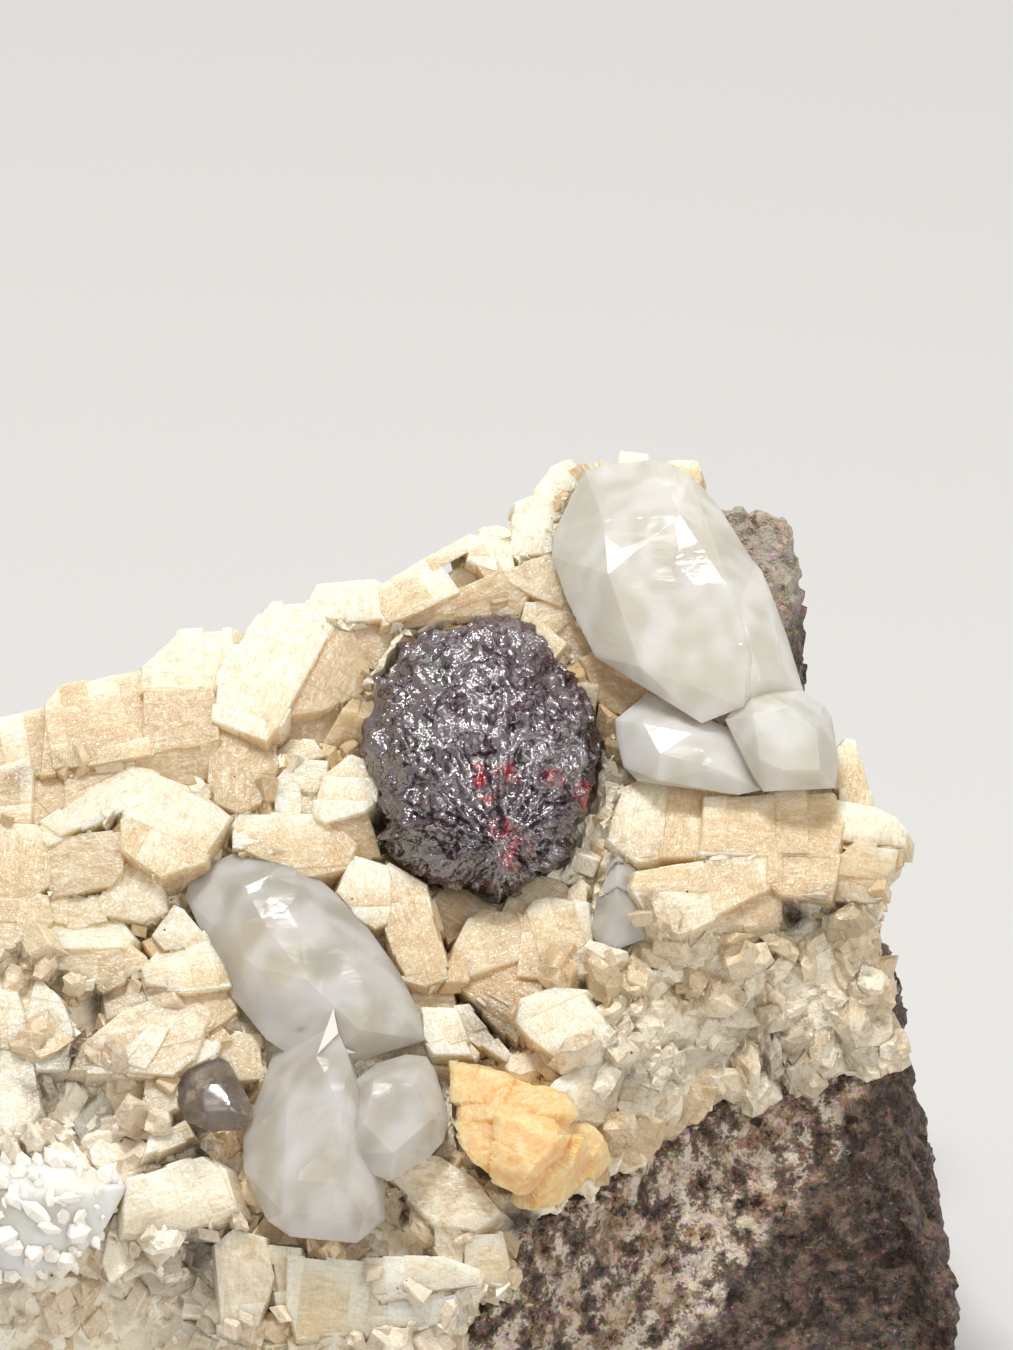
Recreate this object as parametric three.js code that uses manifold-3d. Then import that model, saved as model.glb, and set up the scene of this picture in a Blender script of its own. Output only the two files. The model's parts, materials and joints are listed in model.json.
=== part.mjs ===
// A cinnabar specimen: one dark red crystal among dolomite rhombs and clear quartz, on a wedge
// of the brown-black rock that the crystals grew on. Millimetres, +Z up. The rock is cut off
// flat underneath, and the origin is on that cut, under the middle of the specimen.
import * as THREE from 'three';
import { ConvexGeometry } from 'three/addons/geometries/ConvexGeometry.js';
import { SimplexNoise } from 'three/addons/math/SimplexNoise.js';
import { mergeVertices } from 'three/addons/utils/BufferGeometryUtils.js';
import Module from 'manifold-3d';

const wasm = await Module();
wasm.setup();

// Driving dimensions.
const LEAN = 20; // degrees that the crystal face's own frame is tipped back
const RIDGE_OUT = 26.5; // how far the lower ridge stands in front of the origin
const RIDGE_UP = 11.4;
const FACE_FALL = 0.428; // how much the face goes back for each millimetre up
const SIDE_FALL = 0.15; // how much the front side goes back for each millimetre down
const CRUST_DEPTH = 9;
const GAP = 0.32; // clearance between pieces that only touch
const ROCK_BUMP = 1.3;
const ROCK_GRAIN = 0.45;
const FILL_ROWS = 5;
const FILL_COLUMNS = 7;
const FILL_SIZE = 3.2;
const FILL_LEFT = -34;
const FILL_RIGHT = 17;
const RHOMB_LEAN = 0.21; // cosine of the 78 degree corner of a dolomite face
const BELOW = -4; // the rock is modelled down to here and then cut flat at zero
const VIEW_CENTRE = [9.39, 42.9, 17]; // a straight view's centre, as across, up and out
const VIEW_DISTANCE = 500;
const SIDE_WAY = [0, -0.25, -0.94]; // the way that a crystal's sides go back from its front

// The face's own frame: across to the right, up the face, and out of it.
const lean = THREE.MathUtils.degToRad(LEAN);
const ACROSS = new THREE.Vector3(1, 0, 0);
const UP = new THREE.Vector3(0, Math.sin(lean), Math.cos(lean));
const OUT = new THREE.Vector3(0, -Math.cos(lean), Math.sin(lean));
const FRAME = new THREE.Matrix4().makeBasis(ACROSS, UP, OUT);

// Lines along the specimen, as [x, value] pairs chosen by hand.
const RIDGE_LINE = [
  [-38, 15], [-30, 12.5], [-10, 11.4], [6, 11], [10, 12.5], [13, 16], [16, 22], [19, 26.5],
  [23, 28.5], [34, 28], [37, 20],
];
const CREST_LINE = [
  [-38, 27], [-35, 31], [-31, 34.5], [-26, 37.5], [-21, 38.8], [-18, 40.2], [-12.5, 42],
  [-7.5, 44], [-2.5, 46.2], [0, 47.2], [3.5, 47.8], [6, 49.4], [9, 50.6], [12, 53.2],
  [15, 54.6], [20, 54.2], [23, 49], [26, 43], [29, 36.5], [30.8, 33.5], [31.8, 28],
  [32.4, 23], [33, 17.5], [33.8, 12.5], [35.2, 7.5], [36.4, 3],
];
const CRUST_FOOT_LINE = [
  [-38, -2], [-20, -4], [0, -3], [6, -1], [8.6, 3], [9.2, 8], [13, 11], [19, 15], [25, 18.5],
  [30, 19], [37, 18],
];
const FILL_FOOT_LINE = [[-38, 0], [-20, -2], [0, -1], [8, 3], [9, 20], [17, 26]];
const FRONT_FOOT_LINE = [
  [-38, -10], [-33, -19], [-24, -23], [0, -24], [12, -22], [20, -19], [30, -17.5], [34, -15],
  [36, -11], [37, -8],
];
const BACK_FOOT_LINE = [
  [-38, 4], [-33, 15], [-24, 22], [-8, 25], [10, 27], [22, 29], [30, 24], [34, 15], [37, 4],
];
const BACK_TOP_Y_LINE = [
  [-38, -2], [-30, 4], [-20, 10], [0, 16], [12, 21], [20, 25], [26, 22], [30, 16], [33, 6],
  [35, -2], [37, -4],
];
const BACK_TOP_Z_LINE = [
  [-38, 22], [-30, 28], [-20, 34], [0, 41], [12, 45], [20, 44], [26, 38], [30, 30], [33, 26],
  [35, 16], [37, 11],
];

// Where the body's slices stand, closer together towards its ends.
const SLICE_STATIONS = [
  -37, -35.6, -33, -29.5, -25.5, -21, -17, -13, -9, -5, -1, 3, 7, 11, 15, 19, 22.5, 25.5,
  28.5, 30.8, 32, 33, 34, 35, 35.9,
];

// The rock's horn behind the quartz, as [x, y, z] corners.
const HORN = [
  [20.4, 21, 48], [24, 21.5, 49], [27, 22, 48.2], [27.8, 22.5, 45], [28.2, 23, 41.2],
  [27.4, 23.5, 38.8], [14, 19, 36], [28.4, 14, 24], [20.6, 29, 45.4], [26.4, 29, 45.6],
  [28, 29, 41.6], [27.6, 28.6, 32], [16, 29.4, 33], [28.6, 26, 10], [13, 29, 12], [12, 20, 20],
];

// Dolomite crystals as [depth, corners of the front], each corner as [across, up, out] where out
// is measured from the mean face and the other two as they look from straight in front.
const CREST_FORMS = [
  [3.6, [[-26, 39.3, 0], [-18.1, 40.9, 0], [-17.9, 38, 0.6], [-18.3, 37.1, 0.8],
    [-26, 36.3, 0.8]]],
  [3, [[-24, 37, 1.2], [-19.2, 37.1, 1.2], [-19.3, 34.1, 1.3], [-24, 33.6, 1.3]]],
  [4, [[-18.4, 37.2, 1.2], [-18.1, 41, 0.6], [-17.2, 42.1, 0], [-12.4, 43.2, -0.2],
    [-12.2, 38.3, 1.4]]],
  [3.2, [[-12.3, 38.2, 1.3], [-12.2, 42, 0.8], [-8.3, 42.1, 1], [-8, 39.2, 1.6]]],
  [2.6, [[-12.7, 38.3, 1.3], [-8, 39.2, 1.5], [-8.6, 37, 0.6], [-9.4, 36.2, 0.4],
    [-12.7, 37.4, 0.9]]],
  [3.4, [[-12.4, 42, 0.8], [-12.3, 43.4, 0.2], [-10.2, 45.4, -0.6], [-7.3, 45.6, -0.6],
    [-6.9, 42.3, 1]]],
  [3.8, [[-8, 40.3, 1.6], [-7.8, 43, 1.2], [-5.2, 46.6, -0.2], [-2, 46.4, 0], [-1.3, 45.6, 0.1],
    [-4.2, 40.2, 2], [-5, 39.2, 2.2], [-6, 39.6, 2]]],
  [3.2, [[-1.3, 46.2, -0.2], [0.1, 45.6, -0.4], [0.7, 43.2, -0.8], [1.3, 42.4, -1.2],
    [-1.2, 41, 0.2], [-3.8, 40.6, 1.2]]],
  [3, [[-2.6, 46.6, -0.4], [-2.3, 47.6, -0.8], [-1.9, 48.3, -1], [0.2, 48.5, -1],
    [0.2, 46.2, 0]]],
  [3, [[-0.2, 46.2, 0.1], [0, 48.5, -0.9], [1.4, 48.6, -0.9], [1.9, 48.3, -0.8], [2, 46.4, 0.1]]],
  [2.6, [[0, 45.6, -0.8], [2.1, 46.9, -0.6], [2.7, 45.2, -0.8], [1.7, 43.2, -1.2],
    [0.4, 43.6, -1.2]]],
  [3, [[1.9, 48.3, -0.6], [2.1, 46.2, 0.4], [3.3, 46.5, 0.5], [8.9, 49.1, 0.2], [8, 51, -0.8],
    [7, 51.2, -0.8], [5, 50.1, -0.7], [3.2, 49, -0.7]]],
  [2.6, [[3.2, 46.5, 0.1], [8.8, 49, 0.2], [10.6, 47.8, -0.2], [10, 46.6, -0.4],
    [6.8, 46.4, -0.6], [3.4, 45.7, -0.6]]],
  [3, [[7.4, 50.7, -0.8], [7.9, 51.7, -1], [8.8, 51.8, -1], [9.6, 51.4, -1], [9.9, 49.2, 0],
    [8.6, 49.3, 0.2], [7.2, 49.8, -0.2]]],
  [2.6, [[9.3, 49.2, 0.1], [12, 50, -0.4], [13, 47.6, -0.4], [12.6, 47.1, -0.2], [11, 47.7, 0],
    [9.3, 48.7, 0.2]]],
  [2.6, [[10.3, 46, -0.2], [10.6, 47.3, -0.2], [13, 47.3, -0.4], [13.3, 46.2, -0.5],
    [11.8, 45.2, -0.5]]],
  [2.4, [[13, 47.2, -0.6], [14.8, 44.2, -0.8], [15.1, 43.4, -0.8], [14.2, 43, -0.8],
    [12.2, 44.8, -0.8]]],
  [3, [[9.7, 50.2, -0.6], [9.9, 53.2, -1.2], [11.1, 53.6, -1.3], [12.1, 52.1, -1],
    [12.1, 50.3, -0.8]]],
  [3, [[11, 51.6, -1.1], [11.1, 54, -1.5], [12.1, 55.3, -1.9], [12.9, 52.6, -1.4]]],
  [3, [[12.1, 53.4, -1.5], [12.1, 55.3, -2], [13, 55.7, -2.1], [14.6, 55.95, -2.2],
    [15.7, 55.5, -2.2], [14, 54.4, -2]]],
  [2.6, [[18.9, 54, -2.4], [19, 55.7, -2.8], [19.7, 55.8, -2.8], [20.7, 55.7, -2.9],
    [21, 54.9, -2.8], [20.6, 53.2, -2.4]]],
];
const UPPER_FORMS = [
  [3, [[-8.2, 39.9, 0.9], [-7, 40.6, 1], [-5, 39.1, 1.1], [-4.5, 37.6, 1], [-5.3, 35.4, 1.2],
    [-6.6, 34.8, 1.3], [-7.8, 35.3, 1.3], [-8.4, 36.6, 1.1]]],
  [3.4, [[-18.9, 33.6, 1.2], [-13.2, 37.6, 0.6], [-11.6, 36.8, 1], [-12.6, 35.2, 2.2],
    [-14.6, 34.4, 2.6], [-17.9, 32.9, 2.4]]],
  [4, [[-11.7, 36.8, 1.2], [-9.3, 35.9, 1.2], [-7.3, 34.3, 1.6], [-8.9, 31.9, 2.6],
    [-11.3, 31, 3], [-13.5, 32.5, 3], [-13.6, 34.2, 2.6], [-12.4, 35.6, 2]]],
  [3.4, [[-18, 32.9, 2.1], [-13.6, 33.4, 2.5], [-13.8, 31.2, 2.1], [-14.4, 30.2, 1.9],
    [-17.8, 29.6, 1.7], [-18.1, 31, 1.8]]],
  [3, [[-13.6, 31.8, 1.6], [-11.6, 31.1, 1.8], [-11.2, 28.9, 1.6], [-12.4, 28.2, 1.6],
    [-14.8, 28.6, 1.6], [-15, 29.5, 1.6]]],
  [3, [[-18, 29.6, 1.4], [-15, 29.6, 1.4], [-14.7, 28.2, 1.6], [-16.6, 27.8, 1.7],
    [-18.2, 28.4, 1.6]]],
  [3, [[-19.8, 27.4, 1.2], [-18, 28.1, 1], [-13.8, 28.1, 1], [-13.2, 27.2, 1.8],
    [-13.6, 26.6, 2.2], [-19.2, 26.4, 2.4]]],
  [3, [[-18.2, 26.5, 2.1], [-13.4, 26.7, 2.1], [-12.1, 25.6, 1.9], [-13.2, 25, 1.8],
    [-14.8, 24.1, 1.7], [-17, 25.3, 1.8], [-18.4, 25.8, 1.9]]],
  [3, [[-12.3, 25.2, 2], [-11.4, 26.2, 1.4], [-8.3, 26.9, 1.4], [-7.6, 25.6, 1.8],
    [-7.3, 24.3, 2], [-10, 24, 2.4], [-12.1, 24.4, 2.3]]],
  [3, [[-10.5, 29.1, 1.2], [-9.9, 28.8, 1.3], [-8.1, 26.7, 1.4], [-11, 26.6, 1.6],
    [-11.7, 27.4, 1.4]]],
  [3.4, [[-23, 34, 1.2], [-19, 33.8, 1.6], [-18, 32.8, 1.9], [-18.2, 30.4, 1.9],
    [-19.3, 29.6, 1.8], [-23, 29.8, 1.6]]],
  [3.2, [[-24, 30, 1.6], [-18.3, 29.6, 1.8], [-18, 28.2, 1.8], [-19, 27.2, 2], [-20.5, 26.7, 2],
    [-24, 27, 1.8]]],
  [2.6, [[-19, 37, 0.4], [-16.8, 36.8, 0.4], [-16.4, 35.6, 0.5], [-18.9, 33.8, 0.8],
    [-19.3, 35.2, 0.6]]],
  [2.6, [[-17, 36.8, 0.6], [-13.4, 37.6, 0.6], [-14, 36.8, 0.7], [-17, 34.9, 0.9]]],
];
const INNER_FORMS = [
  [2, [[-4.9, 39, -0.4], [-3.4, 40.9, -0.6], [-0.9, 41, -0.8], [1.4, 42.2, -1.2], [1, 40, -1.4],
    [-1, 39.2, -1], [-3, 38.8, -0.8], [-4.3, 38, -0.5]]],
  [3, [[-2, 35.4, 1.5], [-1.6, 36.8, 1.4], [-0.9, 37.3, 1.2], [0, 38, 1], [1.3, 37.5, 1.2],
    [1.5, 37, 1.4], [1.4, 35.2, 1.7], [0.9, 34.8, 1.8], [-0.3, 34.5, 1.8], [-1.3, 34.2, 1.8],
    [-1.9, 34.5, 1.6]]],
  [2.4, [[-1.2, 34.1, 1.4], [1, 34.8, 1.2], [1.4, 33, 0.8], [1.8, 32, 0.4], [0.4, 32, 0.4],
    [0.2, 32.8, 0.8]]],
  [3.2, [[-6.8, 33.8, 1.4], [-6.4, 34.4, 1.2], [-2, 34.5, 1], [-1.1, 34, 1], [0.2, 32.8, 1.2],
    [-0.4, 31.5, 1.6], [-2.8, 31, 2], [-3.6, 32.2, 1.9], [-6.1, 32.4, 1.8]]],
  [3, [[-0.7, 29.9, 1.8], [0.3, 31.9, 1.4], [2.3, 31.3, 1.6], [2.3, 29, 2], [2.1, 28.1, 2],
    [1.4, 27.8, 2], [0.5, 28.4, 2]]],
  [3.2, [[2.3, 31.3, 1.6], [4.4, 30.1, 1.8], [4.7, 28.7, 2.2], [5.8, 24.9, 2], [4.6, 24.5, 2],
    [3.4, 24.8, 2.1], [2.8, 25.8, 2.2], [2.2, 27.6, 2]]],
  [2, [[5.1, 29.5, -0.4], [6, 30.2, -0.4], [7, 29.9, -0.4], [8.6, 28.8, -0.4], [7.4, 28.5, -0.4],
    [6.6, 27.3, -0.4], [6, 27, -0.4], [5.5, 28.5, -0.4]]],
  [2, [[9.6, 29.2, 0.2], [9.8, 29.8, 0], [11, 30.8, -0.2], [12, 30.6, -0.2], [12.8, 30.3, -0.2],
    [13.1, 29.9, 0], [12.9, 29.2, 0.2], [11.4, 29.3, 0.3], [10.4, 28.1, 0.4], [9.3, 28.6, 0.3]]],
  [3, [[6, 25.2, 1], [6.4, 26.8, 1.2], [7.1, 28.2, 1], [8, 28.8, 0.8], [9.2, 28.6, 1],
    [10.4, 28.3, 1.2], [10.5, 27, 1.6], [9.9, 25.9, 1.8], [8, 25.4, 1.8], [7.2, 24.9, 1.6]]],
  [3, [[10.3, 26.2, 1.8], [10.6, 28.4, 1.4], [11.1, 29.1, 1], [12.3, 29.4, 0.8], [14.2, 29, 0.8],
    [14.3, 28, 1], [14, 26.4, 1.4], [14.6, 25.2, 1.6], [12, 24.8, 2], [10.2, 25, 1.9]]],
  [3, [[6.7, 24.3, 1.2], [7.8, 25.4, 1.2], [9.6, 25.8, 1.4], [13.2, 24.4, 1.6], [12, 23.9, 1.6],
    [10.6, 23.6, 1.6], [10.2, 22.3, 1.6], [9.9, 21, 1.4], [8.4, 22.4, 1.2], [7.2, 23.8, 1.2]]],
  [3, [[10.4, 23.4, 2.4], [12, 24, 2.2], [14, 23.8, 2.2], [15.8, 21, 2.8], [13.6, 19.9, 3.2],
    [12.6, 19.9, 3.2], [11.2, 21, 3.2], [10.2, 22.2, 3]]],
  [3, [[11.8, 17.7, 2.6], [12.4, 18.4, 2.5], [14.4, 19.7, 2.2], [16.2, 20.1, 2], [16.3, 19, 2.1],
    [15.6, 16.3, 2.6], [13.4, 16.2, 2.9], [12.6, 17.2, 2.9]]],
  [2.4, [[4.4, 22.9, 1.8], [6.3, 22.8, 1.8], [7.3, 20.3, 2.2], [5.2, 20.3, 2.2], [4.5, 21.2, 2]]],
];
const RIGHT_FORMS = [
  [3, [[15.9, 34.8, 1], [16.3, 35.9, 0.6], [17.6, 36.5, 0.4], [19.3, 36.1, 0.6], [19, 33.2, 1.4],
    [18.7, 32.1, 1.5], [17.3, 31.8, 1.5], [15.6, 33.2, 1.2]]],
  [3.2, [[19.2, 36, 0.8], [21.6, 36.3, 0.6], [21.4, 33.2, 1.7], [21.2, 32.1, 1.9],
    [18.8, 32.1, 1.8]]],
  [3.8, [[21.6, 35.4, 1.6], [28.8, 35.8, 0.8], [29.4, 34, 1.6], [29, 32.2, 2.4],
    [21.3, 32.2, 2.4]]],
  [3, [[25.2, 32, 2.4], [29.3, 32, 2.4], [28.8, 29.4, 2.6], [25.9, 29.8, 2.6],
    [25.1, 30.4, 2.5]]],
  [3, [[29.2, 35.3, 0.6], [31.4, 34.9, 0.4], [32.6, 34.3, 0.2], [33.3, 33.5, 0],
    [33.2, 32.7, 0.2], [30.8, 32.9, 1.2], [29.4, 33.2, 1.6]]],
  [3, [[30.3, 32.8, 1.6], [32.8, 32.5, 0.6], [32.6, 31.6, 0.8], [31.7, 30.7, 1], [29.2, 31, 2.2],
    [29, 31.6, 2.3]]],
  [2.8, [[29, 31, 2], [31.7, 30.7, 1], [31.9, 29.5, 0.9], [28.9, 29.5, 2]]],
  [2, [[29.3, 38.4, -0.6], [29.8, 39, -0.8], [30.3, 38.9, -0.8], [30.8, 37.3, -0.6],
    [31.3, 35, -0.2], [29.3, 35, 0]]],
  [3.6, [[17.4, 31, 2.8], [21, 31.6, 2.6], [25.2, 31.9, 2.2], [25.6, 30.4, 2.4], [22.6, 28.9, 3],
    [20, 27.5, 3.2], [18.3, 28, 3.2], [17.1, 30.1, 3]]],
  [3, [[22.4, 29.4, 2.2], [25.6, 30.3, 2], [25.9, 28, 1.8], [24, 27.1, 1.8], [21.3, 27.7, 2.2]]],
];
const LOWER_FORMS = [
  [3.6, [[-16.4, 19.3, 2.4], [-15.8, 20.8, 2.3], [-13.6, 22.6, 2], [-10.4, 23.9, 1.6],
    [-8.6, 22.6, 1.7], [-9.6, 20, 2.3], [-10.8, 19.1, 2.5], [-13, 19.3, 2.6]]],
  [2.8, [[-10.4, 24, 1.6], [-7.2, 24.3, 1.4], [-6.9, 22.8, 1.4], [-7.9, 22, 1.5],
    [-9.2, 21.3, 1.7], [-9.8, 22.6, 1.7]]],
  [2.6, [[-8, 20.6, 0.8], [-7, 21.3, 0.8], [-5.4, 21.3, 0.8], [-5.2, 18.8, 0.8],
    [-6.6, 18.7, 0.8]]],
  [2.4, [[-14.8, 24, 0.9], [-13.6, 24.6, 0.8], [-11.1, 24.2, 1], [-12, 23.4, 1.2],
    [-14.5, 22.3, 1.2]]],
  [3, [[-18.6, 24.6, 1.6], [-17.2, 23.2, 1.8], [-16.6, 21.6, 1.9], [-17, 19.4, 2],
    [-18.8, 19.4, 2], [-19.4, 22, 1.8]]],
  [3, [[-24, 24, 1.6], [-20.1, 23.9, 1.6], [-19.4, 21.8, 1.8], [-20.2, 20.7, 1.9],
    [-24, 20.5, 1.9]]],
  [3, [[-21, 20.4, 1.7], [-19.2, 20.6, 1.7], [-18.8, 18.8, 1.8], [-18.6, 17, 1.9], [-19.8, 15, 2],
    [-21, 15, 2]]],
  [2.6, [[-12.2, 18.8, 1.6], [-10.6, 18.8, 1.6], [-10.4, 17, 1.7], [-11.9, 16.3, 1.8],
    [-12.4, 17.8, 1.7]]],
  [3, [[-13.2, 12.6, 1.9], [-10.2, 13.6, 1.8], [-9, 13.9, 1.7], [-7.6, 13, 1.8], [-7, 11, 2.1],
    [-8.2, 10.2, 2.2], [-11, 9.6, 2.3], [-13.4, 9.7, 2.2], [-13.4, 11, 2]]],
  [3.2, [[-8, 8.6, 1.8], [-7, 9.5, 1.6], [-5.2, 9, 1.6], [-4.8, 6.8, 1.9], [-5.6, 4, 2.2],
    [-7.6, 4.4, 2.2]]],
  [2.6, [[-4.8, 8.6, 1.4], [-3, 8.4, 1.4], [-2.7, 5, 1.7], [-4.2, 4.9, 1.8]]],
  [3.2, [[-3.6, 7.9, 1.8], [0.9, 7.4, 1.8], [1.6, 5, 2.2], [1.4, 3.4, 2.4], [-3, 3.2, 2.4],
    [-3.6, 5, 2.2]]],
  [3.2, [[1.2, 7.9, 2], [5.6, 7.8, 2], [7.8, 7, 2.1], [7.6, 6.2, 2.4], [3.2, 5.8, 2.6],
    [1.6, 5.9, 2.5]]],
  [2.8, [[1.5, 5, 2.2], [4.5, 5.3, 2.2], [6.2, 5.8, 2.1], [6.4, 4.8, 2.3], [5, 4, 2.4],
    [1.5, 3.8, 2.4]]],
  [2.8, [[7, 9.2, 1.6], [9.1, 9.3, 1.5], [9.5, 7.4, 1.7], [9.3, 6.2, 1.8], [7.8, 6.7, 1.9],
    [7, 7.5, 1.8]]],
  [2.6, [[2.8, 13.5, 1], [3.9, 14.1, 0.9], [5.4, 14, 0.9], [7.3, 12.7, 1.1], [8.8, 10.8, 1.4],
    [7.4, 9.8, 1.5], [5, 10.2, 1.4], [3.4, 11.8, 1.2], [2.6, 12.5, 1.1]]],
];

const LARGE_FORMS = [
  ...CREST_FORMS, ...UPPER_FORMS, ...INNER_FORMS, ...RIGHT_FORMS, ...LOWER_FORMS,
];

// Dolomite rhombs past the left side: [across, up, out, long, tall, thick, roll, hand, nod, turn].
// Sizes are edges in mm. Roll turns the front face in its own plane, nod looks up and turn looks
// right, in degrees. Hand is the way that the face's upper edge is shifted.
const LEFT_RHOMBS = [
  [-24.8, 36.6, 0.8, 5, 4.4, 3.8, 18, 1, 34, -6],
  [-28.8, 34.2, 1, 5.4, 4.6, 3.8, 24, 1, 36, -10],
  [-24.6, 32.0, 1.8, 5, 4.6, 3.8, -18, -1, 28, 0],
  [-30.6, 30.0, 1.4, 5.2, 4.4, 3.8, 30, 1, 30, -12],
  [-26.2, 27.4, 2, 5.8, 4, 3.6, 6, 1, 30, 0],
  [-33.2, 26.4, 1, 4.6, 4.4, 3.6, -10, 1, 18, -24],
  [-30.0, 23.0, 1.8, 5, 4.2, 3.6, 24, 1, 26, -8],
  [-24.2, 22.6, 2, 4.8, 4.4, 3.6, -28, -1, 20, 0],
  [-27.2, 18.0, 2.2, 5.4, 4.2, 3.6, 10, 1, 24, 0],
  [-32.6, 18.4, 1.4, 4.6, 4.4, 3.4, -24, 1, 12, -20],
  [-29.4, 12.6, 2, 4.8, 4.2, 3.4, 16, 1, 14, -8],
  [-25.2, 8.2, 2, 5, 3.8, 3.4, -10, -1, 12, 0],
  [-30.2, 6.2, 1.6, 4.6, 4, 3.4, 20, 1, 6, -12],
];

// Clear and yellow crystals, as convex forms: [across, up, out] corners, placed as those above.
const BIG_QUARTZ = [
  [14.1, 55.2, 0.6], [15.2, 55.5, 0.8], [18.3, 55.85, 0.9], [19.5, 55.45, 0.9], [20.3, 55, 0.9],
  [21.1, 54.2, 0.9], [22.2, 52.9, 1.2], [13.2, 53.5, 0.2], [12.2, 51.3, 0.6], [12.1, 50, 0.8],
  [13, 47.4, 1.4], [14.7, 44, 2], [15.2, 52.2, 3.6], [19.8, 52.5, 4.4], [15.5, 49, 4.6],
  [17.4, 43.4, 4.6], [17.9, 42, 3.4], [21.1, 40, 3.6], [21.7, 51.4, 4.2], [22.8, 48, 4.9],
  [24, 44, 4.9], [23.6, 41, 4.4], [24.4, 49.4, 1.6], [25.4, 46.4, 1.6], [25.8, 44.2, 1.8],
  [14.4, 54.2, -3], [20.4, 53.6, -3], [25.2, 46, -3], [16, 44.4, -3], [21, 40.8, -3],
  [25, 42, -3], [12.8, 50.6, -2],
];
const SIDE_QUARTZ = [
  [23.6, 50.4, 1.2], [24.7, 49.2, 1.6], [25.2, 48, 1.8], [25.7, 46.4, 2], [26.2, 45.3, 1.9],
  [26.4, 43.4, 2.2], [27.2, 42, 2.4], [23.2, 49.2, 3], [23.6, 46.6, 4.6], [24.6, 42.6, 4.8],
  [25.6, 45.4, 3.4], [26, 42.6, 3.8], [23.4, 41, 3.8], [23.6, 49.6, -3], [26, 45, -3],
  [26.6, 42, -3], [23.6, 41.4, -3],
];
const ROUND_QUARTZ = [
  [24, 42.3, 3], [27, 42.1, 2.4], [28.4, 41.1, 2.2], [28.9, 40.4, 2.2], [29.1, 39.2, 2.4],
  [29.3, 37.4, 2.6], [29.1, 36.1, 2.8], [24.8, 35.9, 3.4], [24.2, 36.8, 3.8], [22.5, 40.2, 3.6],
  [24.6, 37.8, 5.2], [24.2, 40.4, 5.4], [26.4, 41, 5], [28, 39.6, 4.8], [28.2, 37.2, 4.9],
  [26, 37.2, 5.5], [24, 41.6, -2.4], [28.4, 40, -2.4], [28.6, 36.6, -2.4], [25, 36.6, -2.4],
];
const LOW_QUARTZ = [
  [15.9, 40.2, 1.4], [16, 39, 1.4], [16.4, 37.4, 1.4], [17.3, 36.5, 1.4], [17.9, 41.9, 1.2],
  [19.2, 41.2, 1.6], [21.2, 40.2, 2], [23, 39.6, 2.6], [24.7, 36, 2.8], [23.3, 35.7, 2.6],
  [17.6, 40, 3], [18.6, 38.2, 3.6], [20.4, 39.4, 3.6], [22.2, 37.2, 3.8], [18.4, 36.6, 3],
  [16.4, 40, -2.4], [22, 39.8, -2.4], [23.8, 36.4, -2.4], [17.4, 37, -2.4],
];
const NEAR_QUARTZ = [
  [14.4, 27.3, 1], [14.8, 29.6, 1.4], [16.1, 32.4, 0.8], [17.3, 31, 1], [18.7, 27.4, 1.2],
  [15.4, 26.2, 1.4], [16, 29.4, 2.8], [17, 28.2, 2.8], [15, 27.4, -2.4], [16.4, 31.6, -2.4],
  [18, 27.6, -2.4],
];
const LONG_QUARTZ = [
  [-9.7, 30.4, 0.6], [-8.4, 31.6, 0.8], [-7, 32.2, 0.8], [-5, 32.45, 0.8], [-3.6, 32.2, 1],
  [-2.6, 31, 1.4], [-1, 29.4, 1.8], [0.4, 28.7, 1.8], [1.6, 27, 1.8], [2.9, 25.2, 1.8],
  [4.2, 22.6, 1.8], [4.6, 21, 1.8], [-9.9, 29.6, 0.6], [-8.6, 28, 1], [-7.5, 26, 1.4],
  [-7.1, 23.6, 1.6], [-5, 21, 1.8], [-2, 19, 1.6], [-6.3, 30.2, 3], [-4.8, 30.9, 3],
  [-3, 30.2, 3.2], [-3.1, 27.7, 4.2], [-5, 27.8, 4], [-5.8, 25.4, 3.8], [0.2, 26, 4],
  [2, 23.6, 4], [-2.6, 24.6, 4.4], [0.6, 21.6, 4.2], [-7, 31, -2.4], [-3, 30.6, -2.4],
  [3, 23, -2.4], [-5, 22.6, -2.4], [2, 20, -2.4], [-8, 28.6, -2],
];
const UPRIGHT_QUARTZ = [
  [-1.1, 22.7, 3], [-3.4, 20.8, 1.6], [-4.6, 20.3, 0.8], [-5.2, 18.2, 1], [-6.4, 15.2, 1.2],
  [-6.4, 13.2, 1.2], [-5, 10.2, 1.6], [-3.6, 9.2, 2], [0.4, 8.8, 2], [2.1, 10.2, 1.8],
  [2.1, 12.2, 1.6], [1.4, 14, 1.4], [0.6, 17, 1.6], [0.3, 19.2, 2], [-2, 20, 4.4],
  [0, 19.7, 4.4], [-3.8, 17.4, 4], [-4, 12.6, 4.4], [-0.6, 17, 4.9], [-0.3, 12.4, 5],
  [-4, 10.6, 4], [0.8, 10.4, 4.2], [-1.6, 19.6, -2], [-5, 14.4, -2], [1.2, 13, -2],
  [-3.4, 10.4, -2], [1, 10.4, -2],
];
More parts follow.
